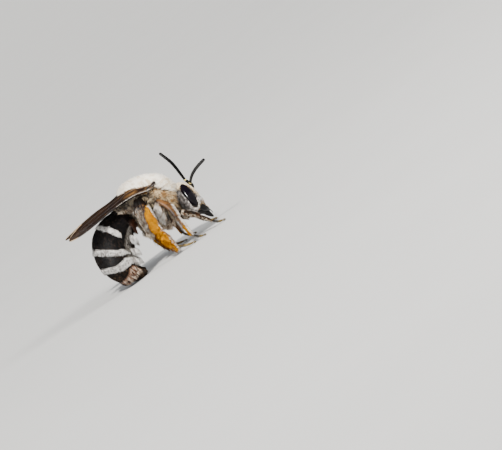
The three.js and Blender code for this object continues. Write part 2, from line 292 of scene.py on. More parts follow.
def add_tube(shape, surface, rows, sectors, ends=0.5, swell=None, blunt=12):
    """Lays a limb's surface into a shape, with rounded ends; the blunter, the shorter the rounding."""
    share = np.repeat(np.linspace(0, 1, rows), sectors)
    angle = np.tile(np.arange(sectors) / sectors * FULL_TURN, rows)
    points = surface(share, angle)
    middles = points.reshape(rows, sectors, 3).mean(axis=1)
    spread = points - np.repeat(middles, sectors, axis=0)
    close = np.sqrt(np.clip(1 - np.abs(2 * share - 1) ** blunt, ends ** 2, 1))[:, None]
    factor = close if swell is None else close * (1 + swell(share))[:, None]
    points = np.repeat(middles, sectors, axis=0) + spread * factor
    radius = np.linalg.norm(spread, axis=1).reshape(rows, sectors).mean(axis=1)
    first = middles[0] + unit(middles[0] - middles[1]) * radius[0] * ends * 0.5
    last = middles[-1] + unit(middles[-1] - middles[-2]) * radius[-1] * ends * 0.5
    quads, caps = closed_grid(rows, sectors)
    shape.add(np.vstack([points, first, last]), quads[:, ::-1], caps[:, ::-1])


def add_ball(shape, centre, sizes, rows=16, sectors=24, turn=0.0, tilt=0.0):
    """An egg with half sizes along X, Y and Z, turned about Z and tilted about Y."""
    polar = np.repeat(np.linspace(0, math.pi, rows + 2)[1:-1], sectors)
    angle = np.tile(np.arange(sectors) / sectors * FULL_TURN, rows)
    ball = np.stack([np.sin(polar) * np.cos(angle), np.sin(polar) * np.sin(angle), np.cos(polar)], -1)
    ball = np.vstack([ball, [0, 0, 1], [0, 0, -1]]) * sizes
    ball = turned(ball, tilt, (0, 2))
    ball = turned(ball, turn, (0, 1))
    quads, caps = closed_grid(rows, sectors)
    shape.add(ball + centre, quads[:, ::-1], caps[:, ::-1])


def turned(points, angle, plane):
    """Points turned by an angle in the plane of two axes."""
    result = np.array(points, float)
    a, b = plane
    result[..., a] = points[..., a] * math.cos(angle) - points[..., b] * math.sin(angle)
    result[..., b] = points[..., a] * math.sin(angle) + points[..., b] * math.cos(angle)
    return result


# ---------------------------------------------------------------- finishes


def new_group(name, inputs, outputs):
    """A shader node group with named inputs (kind and starting value) and outputs (kind)."""
    group = bpy.data.node_groups.new(name, "ShaderNodeTree")
    for label, kind, start in inputs:
        socket = group.interface.new_socket(label, in_out="INPUT", socket_type=kind)
        socket.default_value = start
    for label, kind in outputs:
        group.interface.new_socket(label, in_out="OUTPUT", socket_type=kind)
    entry = group.nodes.new("NodeGroupInput")
    leave = group.nodes.new("NodeGroupOutput")
    return group, entry.outputs, leave.inputs


def feed(tree, socket, value):
    """Links a socket to another one, or sets its value."""
    if isinstance(value, bpy.types.NodeSocket):
        tree.links.new(value, socket)
    else:
        socket.default_value = value


def input_of(made, label):
    """An input by its name, with _ for a space, or by its place as i0, i1 and so on."""
    if label[0] == "i" and label[1:].isdigit():
        return made.inputs[int(label[1:])]
    return made.inputs[label.replace("_", " ")]


def node(tree, kind, settings=None, **inputs):
    """Adds a node; its inputs are values, or sockets to link from."""
    made = tree.nodes.new(kind)
    for label, value in (settings or {}).items():
        setattr(made, label, value)
    for label, value in inputs.items():
        feed(tree, input_of(made, label), value)
    return made


def noise(tree, place, scale, detail=2.0, roughness=0.5):
    made = node(tree, "ShaderNodeTexNoise", Vector=place, Scale=scale, Detail=detail, Roughness=roughness)
    return made.outputs["Fac"]


def math_node(tree, operation, first, second=0.0):
    return node(tree, "ShaderNodeMath", {"operation": operation}, i0=first, i1=second).outputs[0]


def stretch(tree, value, low, high, new_low=0.0, new_high=1.0):
    """Carries a value from one span to another, held at the ends."""
    spans = {"From_Min": low, "From_Max": high, "To_Min": new_low, "To_Max": new_high}
    return node(tree, "ShaderNodeMapRange", Value=value, **spans).outputs[0]


def mix_colours(tree, share, first, second):
    return node(tree, "ShaderNodeMix", {"data_type": "RGBA"}, Factor=share, i6=first, i7=second).outputs[2]


def object_place(tree):
    return tree.nodes.new("ShaderNodeTexCoord").outputs["Object"]


def colour(red, green, blue):
    """A colour from its usual 0 to 255 numbers."""
    scaled = [value / 255 for value in (red, green, blue)]
    return tuple(v / 12.92 if v <= 0.04045 else ((v + 0.055) / 1.055) ** 2.4 for v in scaled) + (1.0,)


COLOUR, NUMBER = "NodeSocketColor", "NodeSocketFloat"


def hair_tone_group():
    """Root-to-tip colour of hair, darker at the root as painted shade deep in the coat, with flecks of
    another colour from tuft to tuft.
    """
    group, given, out = new_group(
        "hair tone",
        [
            ("Root", COLOUR, (0.2, 0.2, 0.2, 1)),
            ("Tip", COLOUR, (0.8, 0.8, 0.8, 1)),
            ("Fleck", COLOUR, (0.1, 0.1, 0.1, 1)),
            ("Fleck Amount", NUMBER, 0.2),
            ("Tuft Size", NUMBER, 0.2),
        ],
        [("Color", COLOUR), ("Roughness", NUMBER)],
    )
    place = object_place(group)
    fine_scale = math_node(group, "DIVIDE", 1 / MM, given["Tuft Size"])
    fine = noise(group, place, fine_scale, 2.0)
    broad = noise(group, place, 0.9 / MM, 2.0)
    along = node(group, "ShaderNodeAttribute", {"attribute_name": "along"}).outputs["Fac"]
    lock = node(group, "ShaderNodeAttribute", {"attribute_name": "lock"}).outputs["Fac"]
    # Painted shade: the colour darkens from tip to root, as it does deep in the coat.
    shade = mix_colours(group, stretch(group, along, 0.2, 0.9), given["Root"], given["Tip"])
    edge = math_node(group, "SUBTRACT", 0.88, given["Fleck Amount"])
    by_lock = math_node(group, "MULTIPLY", lock, 0.8)
    by_place = math_node(group, "MULTIPLY", broad, 0.2)
    spot = math_node(group, "ADD", by_lock, by_place)
    high = math_node(group, "ADD", edge, 0.2)
    toned = mix_colours(group, stretch(group, spot, edge, high), shade, given["Fleck"])
    group.links.new(toned, out["Color"])
    group.links.new(stretch(group, fine, 0.3, 0.7, 0.45, 0.7), out["Roughness"])
    return group


def shell_grain_group():
    """Fine pits and a soft change of shade, as on an insect's shell."""
    group, given, out = new_group(
        "shell grain",
        [
            ("Base", COLOUR, (0.02, 0.02, 0.02, 1)),
            ("Worn", COLOUR, (0.08, 0.06, 0.05, 1)),
            ("Pit Size", NUMBER, 0.06),
            ("Shine", NUMBER, 0.3),
        ],
        [("Color", COLOUR), ("Roughness", NUMBER), ("Height", NUMBER)],
    )
    place = object_place(group)
    pit_scale = math_node(group, "DIVIDE", 1 / MM, given["Pit Size"])
    pits = node(group, "ShaderNodeTexVoronoi", Vector=place, Scale=pit_scale).outputs["Distance"]
    broad = noise(group, place, 1.6 / MM, 4.0)
    fine = noise(group, place, 14 / MM, 2.0)
    tone = mix_colours(group, stretch(group, broad, 0.42, 0.7), given["Base"], given["Worn"])
    height = math_node(group, "ADD", stretch(group, pits, 0.1, 0.45), math_node(group, "MULTIPLY", fine, 0.5))
    rough = math_node(group, "ADD", given["Shine"], stretch(group, fine, 0.3, 0.7, -0.05, 0.12))
    group.links.new(tone, out["Color"])
    group.links.new(rough, out["Roughness"])
    group.links.new(height, out["Height"])
    return group


def grain_group():
    """Round grains packed close, as in a pollen load, with painted shade in the gaps between them."""
    group, given, out = new_group(
        "packed grains",
        [
            ("Bright", COLOUR, (0.9, 0.5, 0.05, 1)),
            ("Deep", COLOUR, (0.6, 0.2, 0.02, 1)),
            ("Grain Size", NUMBER, 0.05),
        ],
        [("Color", COLOUR), ("Roughness", NUMBER), ("Height", NUMBER)],
    )
    place = object_place(group)
    scale = math_node(group, "DIVIDE", 1 / MM, given["Grain Size"])
    cells = node(group, "ShaderNodeTexVoronoi", Vector=place, Scale=scale)
    broad = noise(group, place, 2.6 / MM, 3.0)
    gaps = stretch(group, cells.outputs["Distance"], 0.25, 0.75)
    # Painted shade: the colour is darker in the gaps between grains.
    shade_in_gaps = math_node(group, "MULTIPLY", gaps, 0.45)
    in_patches = stretch(group, broad, 0.45, 0.75, 0, 0.8)
    share = math_node(group, "ADD", shade_in_gaps, in_patches)
    group.links.new(mix_colours(group, share, given["Bright"], given["Deep"]), out["Color"])
    group.links.new(stretch(group, gaps, 0, 1, 0.6, 0.85), out["Roughness"])
    group.links.new(math_node(group, "SUBTRACT", 1.0, cells.outputs["Distance"]), out["Height"])
    return group


HAIR_TONE = hair_tone_group()
SHELL_GRAIN = shell_grain_group()
PACKED_GRAINS = grain_group()


def new_material(name, **values):
    material = bpy.data.materials.new(name)
    material.use_nodes = True
    tree = material.node_tree
    shader = tree.nodes["Principled BSDF"]
    for label, value in values.items():
        shader.inputs[label.replace("_", " ")].default_value = value
    return material, tree, shader


def use_group(tree, group, **values):
    made = tree.nodes.new("ShaderNodeGroup")
    made.node_tree = group
    for label, value in values.items():
        made.inputs[label.replace("_", " ")].default_value = value
    return made.outputs


def dress(tree, shader, out):
    """Feeds a group's colour and roughness to the shader."""
    tree.links.new(out["Color"], shader.inputs["Base Color"])
    tree.links.new(out["Roughness"], shader.inputs["Roughness"])


def raise_from(tree, shader, height, strength, depth):
    """Feeds a height into the shader's normal; depth is in millimetres."""
    bump = node(tree, "ShaderNodeBump", Strength=strength, Distance=depth * MM, Height=height)
    tree.links.new(bump.outputs["Normal"], shader.inputs["Normal"])


SHEEN_ROUGHNESS = 0.4
COAT_ROUGHNESS = 0.12


def hair_finish(name, root, tip, fleck, amount, size=0.2, sheen=0.2, shine=0.25):
    """Hair, paler from root to tip, the darker root being painted shade deep in the coat, with flecks from
    lock to lock.
    """
    material, tree, shader = new_material(
        name, Sheen_Weight=sheen, Sheen_Roughness=SHEEN_ROUGHNESS, Specular_IOR_Level=shine
    )
    tones = {"Root": colour(*root), "Tip": colour(*tip), "Fleck": colour(*fleck)}
    out = use_group(tree, HAIR_TONE, Fleck_Amount=amount, Tuft_Size=size, **tones)
    dress(tree, shader, out)
    return material


def shell_finish(name, base, worn, roughness=0.3, pit=0.06, bump=0.3, coat=0.0, gleam=0.5):
    """Pitted shell or skin."""
    material, tree, shader = new_material(
        name, Specular_IOR_Level=gleam, Coat_Weight=coat, Coat_Roughness=COAT_ROUGHNESS
    )
    out = use_group(tree, SHELL_GRAIN, Base=colour(*base), Worn=colour(*worn), Pit_Size=pit, Shine=roughness)
    dress(tree, shader, out)
    raise_from(tree, shader, out["Height"], bump, 0.01)
    return material


def pollen_finish():
    """Strong yellow grains, packed close."""
    material, tree, shader = new_material("pollen load", Specular_IOR_Level=0.1)
    bright, deep = colour(188, 132, 0), colour(144, 84, 0)
    out = use_group(tree, PACKED_GRAINS, Bright=bright, Deep=deep, Grain_Size=0.08)
    dress(tree, shader, out)
    raise_from(tree, shader, out["Height"], 0.9, 0.03)
    return material


def eye_finish():
    """Near-black with a purple cast, under a fine net of six-sided facets."""
    material, tree, shader = new_material("eye facets", Specular_IOR_Level=0.16)
    place = object_place(tree)
    facets = node(tree, "ShaderNodeTexVoronoi", {"feature": "DISTANCE_TO_EDGE"}, Vector=place, Scale=30 / MM)
    broad = noise(tree, place, 0.9 / MM, 3.0)
    tone = mix_colours(tree, stretch(tree, broad, 0.35, 0.7), colour(3, 2, 5), colour(8, 4, 12))
    tree.links.new(tone, shader.inputs["Base Color"])
    tree.links.new(stretch(tree, broad, 0.3, 0.7, 0.1, 0.15), shader.inputs["Roughness"])
    raise_from(tree, shader, stretch(tree, facets.outputs["Distance"], 0.0, 0.3), 0.1, 0.004)
    return material


HEAD_CENTRE = np.array([4.95, 0, 3.65])
HEAD_TURN = 8
# The face's cream marks from the head's middle: how far out the side ones lie, how much that changes with
# height, half the width of a side mark and of the middle one, their soft edge, and their span in height.
SIDE_MARK_OUT = 0.86
SIDE_MARK_LEAN = 0.14
SIDE_MARK_HALF = 0.07
MIDDLE_MARK_HALF = 0.04
MARK_EDGE = 0.03
MARK_BOTTOM = -1.9
MARK_TOP = -0.2
MARK_FADE = 0.1


def face_finish():
    """Black shell with a cream mark down each side of the face's shield and a fine one down its middle."""
    material, tree, shader = new_material(
        "face shell", Specular_IOR_Level=0.22, Coat_Weight=0.08, Coat_Roughness=COAT_ROUGHNESS
    )
    base, worn = colour(7, 6, 6), colour(22, 18, 17)
    out = use_group(tree, SHELL_GRAIN, Base=base, Worn=worn, Pit_Size=0.05, Shine=0.24)
    centre = (HEAD_CENTRE + [SHIFT, 0, 0]) * MM
    shifted = node(tree, "ShaderNodeVectorMath", {"operation": "SUBTRACT"}, i0=object_place(tree), i1=centre)
    about_z = {"rotation_type": "Z_AXIS"}
    angle = -math.radians(HEAD_TURN)
    local = node(tree, "ShaderNodeVectorRotate", about_z, Vector=shifted.outputs[0], Angle=angle)
    split = node(tree, "ShaderNodeSeparateXYZ", Vector=local.outputs[0])
    side = math_node(tree, "ABSOLUTE", split.outputs["Y"])
    height = split.outputs["Z"]
    edge = math_node(tree, "ADD", math_node(tree, "MULTIPLY", height, SIDE_MARK_LEAN), SIDE_MARK_OUT * MM)
    gap = math_node(tree, "ABSOLUTE", math_node(tree, "SUBTRACT", side, edge))
    ragged = math_node(tree, "MULTIPLY", noise(tree, object_place(tree), 5 / MM, 3.0), 0.05 * MM)
    soft = MARK_EDGE * MM
    inner, outer = MIDDLE_MARK_HALF * MM, SIDE_MARK_HALF * MM
    stripe = stretch(tree, math_node(tree, "ADD", gap, ragged), outer, outer + soft, 1, 0)
    middle = stretch(tree, math_node(tree, "ADD", side, ragged), inner, inner + soft, 0.7, 0)
    above = stretch(tree, height, MARK_BOTTOM * MM, (MARK_BOTTOM + MARK_FADE) * MM)
    below = stretch(tree, height, (MARK_TOP - MARK_FADE) * MM, MARK_TOP * MM, 1, 0)
    span = math_node(tree, "MULTIPLY", above, below)
    mark = math_node(tree, "MULTIPLY", math_node(tree, "MAXIMUM", stripe, middle), span)
    tone = mix_colours(tree, mark, out["Color"], colour(226, 192, 140))
    tree.links.new(tone, shader.inputs["Base Color"])
    tree.links.new(out["Roughness"], shader.inputs["Roughness"])
    raise_from(tree, shader, out["Height"], 0.25, 0.01)
    return material


# Along the wing, where its golden streaks begin and where they are strongest; they are partly the membrane's
# own golden cast and partly painted glints of light.
GOLD_AND_GLINT_SPAN = (-1.1, 1.2)


def wing_finish():
    """Smoky brown membrane with golden streaks near its root, partly its own golden cast and partly painted
    glints, and a dusting of tiny dark hairs.
    """
    material, tree, shader = new_material("wing membrane", Specular_IOR_Level=0.08)
    place = object_place(tree)
    broad = noise(tree, place, 0.7 / MM, 4.0)
    dots = noise(tree, place, 12 / MM, 2.0)
    tone = mix_colours(tree, stretch(tree, broad, 0.35, 0.7), colour(18, 11, 8), colour(40, 26, 18))
    dotted = mix_colours(tree, stretch(tree, dots, 0.55, 0.7), tone, colour(14, 9, 7))
    forward = node(tree, "ShaderNodeSeparateXYZ", Vector=place).outputs["X"]
    # The golden streaks are partly painted glints of light along the membrane.
    near_root = stretch(tree, forward, GOLD_AND_GLINT_SPAN[0] * MM, GOLD_AND_GLINT_SPAN[1] * MM, 0.05, 0.9)
    drawn_out = node(tree, "ShaderNodeVectorMath", {"operation": "MULTIPLY"}, i0=place, i1=(0.35, 2.0, 2.0))
    streaks = stretch(tree, noise(tree, drawn_out.outputs[0], 1.6 / MM, 2.0), 0.38, 0.66)
    golden = math_node(tree, "MULTIPLY", near_root, streaks)
    tree.links.new(mix_colours(tree, golden, dotted, colour(150, 108, 62)), shader.inputs["Base Color"])
    tree.links.new(stretch(tree, broad, 0.3, 0.7, 0.9, 0.76), shader.inputs["Alpha"])
    tree.links.new(stretch(tree, dots, 0.3, 0.7, 0.4, 0.56), shader.inputs["Roughness"])
    height = math_node(tree, "ADD", broad, math_node(tree, "MULTIPLY", dots, 0.4))
    raise_from(tree, shader, height, 0.35, 0.02)
    return material


def floor_finish():
    """A plain pale grey."""
    material, tree, shader = new_material("pale floor", Roughness=0.7, Specular_IOR_Level=0.3)
    place = object_place(tree)
    tone = mix_colours(tree, noise(tree, place, 60.0, 3.0), (0.57, 0.57, 0.56, 1), (0.61, 0.61, 0.6, 1))
    tree.links.new(tone, shader.inputs["Base Color"])
    return material


# Each hair: root colour (painted shade deep in the coat), tip and fleck colours, share of flecks, size of
# gloss patches, sheen and shine.
IVORY = hair_finish("ivory plush", (132, 108, 80), (255, 249, 236), (206, 184, 150), 0.3, 0.25)
COLLAR = hair_finish("cream collar hair", (96, 70, 42), (240, 212, 166), (150, 112, 68), 0.38, 0.25)
BUFF = hair_finish("buff side hair", (56, 44, 32), (214, 194, 160), (92, 74, 56), 0.42, 0.3)
DARK_FLANK = hair_finish("dark side hair", (14, 12, 11), (88, 76, 64), (22, 19, 17), 0.4)
GREY = hair_finish("grey cheek hair", (34, 30, 29), (164, 156, 152), (66, 61, 58), 0.42, 0.15)
BEARD = hair_finish("white beard", (110, 102, 96), (255, 250, 246), (160, 148, 140), 0.32)
CREAM = hair_finish("cream face hair", (130, 108, 76), (255, 242, 216), (190, 160, 118), 0.34)
PILE = hair_finish("black pile", (2, 2, 2), (10, 8, 9), (62, 49, 41), 0.32, 0.3, 0.0, 0.03)
BAND = hair_finish("white band hair", (160, 154, 148), (255, 253, 250), (134, 128, 124), 0.36, 0.3)
FIMBRIA = hair_finish("tail fringe", (100, 62, 38), (255, 232, 206), (120, 74, 44), 0.4, 0.2)
BROWN_PILE = hair_finish("brown tail pile", (6, 5, 4), (34, 25, 20), (104, 82, 62), 0.3, 0.2, 0.0, 0.1)
SCOPA = hair_finish("pollen-dusted hair", (140, 84, 0), (188, 131, 0), (150, 88, 0), 0.32, 0.15, 0.0, 0.05)
DEEP_SCOPA = hair_finish("dark pollen streaks", (70, 32, 2), (120, 62, 2), (70, 32, 4), 0.36, 0.15, 0.0, 0.05)
RUST_HAIR = hair_finish("rusty tail hair", (20, 11, 6), (84, 46, 24), (20, 12, 8), 0.4, 0.15, 0.0)
FRINGE = hair_finish("pale leg fringe", (72, 54, 38), (244, 226, 200), (104, 76, 52), 0.42, 0.22)
WHITE_FRINGE = hair_finish("white leg fringe", (136, 122, 108), (255, 250, 242), (170, 150, 130), 0.3, 0.22)
AMBER_HAIR = hair_finish("amber leg hair", (44, 27, 14), (146, 108, 62), (50, 32, 18), 0.4)
SILVER = hair_finish("silver hair", (50, 45, 41), (150, 144, 136), (74, 66, 58), 0.4)

# Each shell: base and worn colours, roughness, size of pits, bump, coat and gleam.
BLACK_SHELL = shell_finish("black shell", (5, 4, 4), (18, 14, 12), 0.3, 0.05, 0.25, 0.0, 0.22)
BELLY_SHELL = shell_finish("skin under the pile", (4, 3, 4), (11, 9, 9), 0.5, 0.07, 0.4, 0.0, 0.14)
PLUSH_SKIN = shell_finish("skin under the plush", (190, 174, 146), (224, 210, 186), 0.7, 0.1, 0.5)
SIDE_SKIN = shell_finish("skin under the side hair", (52, 44, 36), (96, 82, 64), 0.6, 0.1, 0.5)
BAND_SKIN = shell_finish("skin under the bands", (176, 172, 168), (214, 210, 206), 0.7, 0.1, 0.5)
CHEEK_SKIN = shell_finish("skin under the cheek hair", (34, 31, 31), (74, 70, 67), 0.5, 0.07, 0.4)
FACE_MARK = shell_finish("cream face mark", (214, 170, 112), (236, 210, 164), 0.35, 0.05, 0.2)
AMBER_SHELL = shell_finish("amber leg shell", (40, 24, 11), (124, 82, 40), 0.46, 0.06, 0.3, 0.0, 0.22)
DARK_LEG_SHELL = shell_finish("dark leg shell", (9, 6, 4), (40, 23, 14), 0.56, 0.05, 0.35, 0.0, 0.06)
FOOT_SHELL = shell_finish("foot shell", (12, 9, 6), (132, 108, 54), 0.34, 0.05, 0.3)
FEELER_SHELL = shell_finish("feeler shell", (4, 4, 4), (14, 12, 10), 0.5, 0.035, 0.4, 0.0, 0.2)
VEIN_SHELL = shell_finish("wing vein", (12, 7, 5), (44, 27, 18), 0.25, 0.05, 0.2, 0.3)
PALE_RING = shell_finish("pale joint ring", (196, 176, 104), (232, 220, 170), 0.35, 0.05, 0.2)
# A painted highlight for the wing's edges.
EDGE_HIGHLIGHT = shell_finish("painted wing edge highlight", (150, 124, 96), (206, 184, 152), 0.4, 0.05, 0.2)
TEGULA_SHELL = shell_finish("wing hinge plate", (10, 7, 6), (44, 28, 18), 0.2, 0.05, 0.2, 0.4)
EYE = eye_finish()
FACE_SHELL = face_finish()
MEMBRANE = wing_finish()
POLLEN = pollen_finish()
FLOOR = floor_finish()


# ---------------------------------------------------------------- the body's one skin

# Each ring: back x and z, belly x and z, half width. The abdomen's are out to the tips of its pile.
HAIRY_ABDOMEN = [
    (-0.25, 5.70, -0.20, 4.55, 0.80),
    (-0.70, 6.32, -0.48, 4.28, 1.60),
    (-1.35, 6.52, -0.64, 3.86, 2.00),
    (-2.30, 6.52, -0.84, 3.42, 2.20),
    (-3.22, 6.28, -1.04, 2.98, 2.30),
    (-4.35, 5.58, -1.24, 2.52, 2.34),
    (-5.08, 4.38, -1.42, 2.08, 2.30),
    (-5.36, 3.40, -1.58, 1.70, 2.18),
    (-5.30, 2.40, -1.74, 1.36, 2.00),
    (-4.98, 1.50, -1.84, 1.08, 1.76),
    (-4.42, 0.78, -1.88, 0.90, 1.46),
    (-3.50, 0.22, -1.86, 0.74, 1.05),
    (-2.45, -0.04, -1.98, 0.55, 0.42),
]
TAIL_END = (-2.10, 0.10, -1.94, 0.30, 0.12)
WAIST = (-0.17, 5.36, -0.13, 4.74, 0.44)
THORAX_RINGS = [
    (-0.10, 5.45, -0.08, 4.60, 0.62),
    (0.15, 6.15, 0.22, 3.75, 1.35),
    (0.60, 6.85, 0.65, 3.05, 1.85),
    (1.35, 7.08, 1.40, 2.78, 2.05),
    (2.45, 6.90, 2.45, 2.70, 2.08),
    (3.35, 6.42, 3.28, 2.88, 1.90),
    (3.90, 5.75, 3.68, 3.35, 1.45),
    (4.12, 5.05, 3.88, 4.05, 0.85),
]
NECK = (4.10, 4.72, 4.00, 4.10, 0.48)
# The head's rings, from the neck to the face: distance forward, top z, bottom z, half width.
HEAD_RINGS = [
    (-0.93, 4.62, 3.95, 0.50),
    (-0.88, 4.62, 2.75, 1.45),
    (-0.62, 4.84, 2.30, 1.90),
    (-0.20, 4.93, 2.10, 2.02),
    (0.20, 4.84, 1.95, 1.86),
    (0.50, 4.58, 1.88, 1.56),
    (0.72, 4.15, 1.95, 1.15),
    (0.84, 3.62, 2.20, 0.62),
    (0.88, 3.25, 2.50, 0.25),
]
PLATE_EDGES = (0, 2.05, 4.18, 6.2, 8.2, 10.1, 12)
TAIL_BASE_ROW = 13
THORAX_ROWS = (15, 22)
HEAD_ROW = 24
PLATE_STEP = 0.055
HEAD_SQUARENESS = 0.93
# How deep the pile is over the back, and under the belly at rings from the waist to the tail.
BACK_PILE = 0.13
BELLY_PILE = ((0, 0.13), (2, 0.32), (4, 0.42), (9, 0.42), (11, 0.2), (12, 0.1))


def body_rings():
    """Every ring from the tail's end to the face, with the head's turn and squareness."""
    rings = [TAIL_END + (0, 1)]
    for place in reversed(range(len(HAIRY_ABDOMEN))):
        x, z, belly_x, belly_z, half = HAIRY_ABDOMEN[place]
        across = np.array([belly_x - x, belly_z - z])
        across /= np.linalg.norm(across)
        back = np.array([x, z]) + across * BACK_PILE
        belly = np.array([belly_x, belly_z]) - across * line(place, *BELLY_PILE)
        rings.append((*back, *belly, half - BACK_PILE, 0, 1))
    rings.append(WAIST + (0, 1))
    rings += [ring + (0, 1) for ring in THORAX_RINGS]
    rings.append(NECK + (HEAD_TURN / 2, 1))
    for forward, top, bottom, half in HEAD_RINGS:
        x = HEAD_CENTRE[0] + forward
        rings.append((x, top, x, bottom, half, HEAD_TURN, HEAD_SQUARENESS))
    return np.array(rings)


BODY = body_rings()
LAST_ROW = len(BODY) - 1


def rounded(value, power):
    return np.sign(value) * np.abs(value) ** power


def smooth_body(row, angle):
    """The body without its relief: the angle turns from the back, over the right side, to the belly."""
    x, z, belly_x, belly_z, half, turn, power = spline(BODY, row / LAST_ROW).T
    rise = rounded(np.cos(angle), power) / 2
    out = rounded(np.sin(angle), power)
    points = np.stack(
        [(x + belly_x) / 2 + (x - belly_x) * rise, -half * out, (z + belly_z) / 2 + (z - belly_z) * rise], -1
    )
    turn = np.radians(turn)
    ahead = points[:, 0] - HEAD_CENTRE[0]
    side = points[:, 1].copy()
    points[:, 0] = HEAD_CENTRE[0] + ahead * np.cos(turn) - side * np.sin(turn)
    points[:, 1] = ahead * np.sin(turn) + side * np.cos(turn)
    return points


def in_head(points):
    """Places from the head's own middle, with X out of its face."""
    return turned(points - HEAD_CENTRE, -math.radians(HEAD_TURN), (0, 1))


def from_head(points):
    """Where places given from the head's own middle lie."""
    return turned(np.array(points, float), math.radians(HEAD_TURN), (0, 1)) + HEAD_CENTRE


def dome(place, centre, sizes):
    """1 in the middle of an oval and 0 outside it."""
    gap = (((place - centre) / sizes) ** 2).sum(axis=-1)
    return np.clip(1 - gap, 0, 1)


def facing(angle):
    """The angle from the back, from half a turn left to half a turn right."""
    return (np.asarray(angle) + math.pi) % FULL_TURN - math.pi


def plate_place(row, angle):
    """Where a place lies along the abdomen's plates, whose edges run further forward over the back."""
    plate = TAIL_BASE_ROW - row
    lean = line(plate, (3, 0), (4.18, 0.06), (6.2, 0.3), (8.2, 0.32), (10, 0.2), (12, 0))
    under = line(plate, (4.5, 0), (8.2, 1.0), (10.1, 1.1), (12, 0))
    under = under * smooth_step(1.5, 2.5, np.abs(facing(angle)))
    return plate + lean * (0.4 + 0.6 * np.clip(np.cos(angle), 0, 1)) + under


def body_relief(row, angle, points):
    """How far the shell stands out: plates that overlap tailward, and the face's shield and sockets."""
    plate = plate_place(row, angle)
    rise = np.zeros(len(points))
    for start, end in zip(PLATE_EDGES[:-1], PLATE_EDGES[1:]):
        share = (plate - start) / (end - start)
        rise += np.where((share >= 0) & (share < 1), PLATE_STEP * np.clip(share, 0, 1) ** 3, 0)
    local = in_head(points)
    on_face = smooth_step(0.1, 0.5, local[:, 0])
    flat = local[:, 1:]
    shield = np.sqrt(dome(flat, (0, -0.85), (0.78, 0.72)))
    brow = dome(flat, (0, 0.1), (0.3, 0.5)) ** 2
    sockets = dome(flat * [0, 1] + np.abs(flat) * [1, 0], (0.36, 0.06), (0.22, 0.22))
    rise += on_face * (0.11 * shield + 0.06 * brow - 0.08 * sockets)
    round_eye = eye_share(points)
    rise += np.where(local[:, 0] > -1.0, 0.2 * np.exp(-(((round_eye - 1) / 0.55) ** 2)), 0)
    return rise


def body(row, angle):
    """The body with its relief."""
    row = np.clip(row, 0, LAST_ROW)
    points = smooth_body(row, angle)
    along = smooth_body(row + STEP, angle) - smooth_body(row - STEP, angle)
    around = smooth_body(row, angle + STEP) - smooth_body(row, angle - STEP)
    outward = unit(np.cross(around, along))
    return points + outward * body_relief(row, angle, points)[:, None]


EYE_CENTRE = np.array([-0.18, 1.82, 0.05])
EYE_SIZES = np.array([0.49, 0.46, 1.24])
EYE_TURN = 30


def eye_share(points, grow=1.0):
    """Below 1 inside either eye, swollen by grow."""
    local = in_head(points)
    nearest = np.full(len(points), 99.0)
    for side in (-1, 1):
        gap = turned(local - EYE_CENTRE * [1, side, 1], math.radians(EYE_TURN * side), (0, 1))
        nearest = np.minimum(nearest, ((gap / (EYE_SIZES * grow)) ** 2).sum(axis=1))
    return nearest


def plush_share(place):
    """1 on the back and collar where the plush is ivory, 0 down the sides."""
    edge = line(place[:, 0], (-0.4, 6.8), (0.5, 6.55), (1.4, 6.45), (2.6, 6.2), (3.3, 5.6), (4.0, 4.9))
    ragged = 0.12 * lumps(place, 0.35, 5)
    return smooth_step(-0.22, 0.22, place[:, 2] + ragged - edge)


def band_gap(row, angle, pace):
    """Millimetres from a place on the back plates to the hind edge of its own plate, and which plate."""
    plate = plate_place(row, angle)
    which = np.clip(np.searchsorted(PLATE_EDGES, plate, side="right") - 1, 0, 5)
    ends = np.array(PLATE_EDGES)[which + 1]
    return (ends - plate) * pace, which


# For each banded plate: its band's width from the middle of the back down the side to the belly.
BANDS = {
    1: ((0, 0.36), (1.45, 0.36), (1.72, 0.18), (1.8, 0.0)),
    2: ((0, 0.45), (1.3, 0.55), (1.9, 0.46), (2.25, 0.0)),
    3: ((0, 0.46), (1.3, 0.52), (1.9, 0.8), (2.5, 0.6), (2.7, 0.0)),
}


def band_share(row, angle, place, pace):
    """1 on the white bands at the hind edges of the second to fourth plates."""
    gap, which = band_gap(row, angle, pace)
    ragged = 0.045 * lumps(place, 0.22, 8)
    share = np.zeros(len(row))
    for plate, widths in BANDS.items():
        wide = line(np.abs(angle), *widths)
        inside = (gap + ragged > 0.02) & (gap + ragged < wide) & (which == plate)
        share = np.where(inside, 1.0, share)
    return share


def skin_zone(row, angle, place, pace):
    """Which finish each face of the skin takes."""
    local = in_head(place)
    zone = np.zeros(len(row), int)
    thorax = (row > THORAX_ROWS[0] - 0.6) & (row < HEAD_ROW - 0.5)
    zone[thorax] = 2
    zone[thorax & (plush_share(place) > 0.5)] = 1
    zone[(row < TAIL_BASE_ROW + 0.5) & (band_share(row, angle, place, pace) > 0.5)] = 3
    head = row >= HEAD_ROW - 0.5
    zone[head] = 4
    zone[head & (local[:, 0] > 0.25)] = 5
    zone[head & (local[:, 2] > 0.75)] = 1
    return zone


ROWS_PER_RING = 10
SECTORS = 132


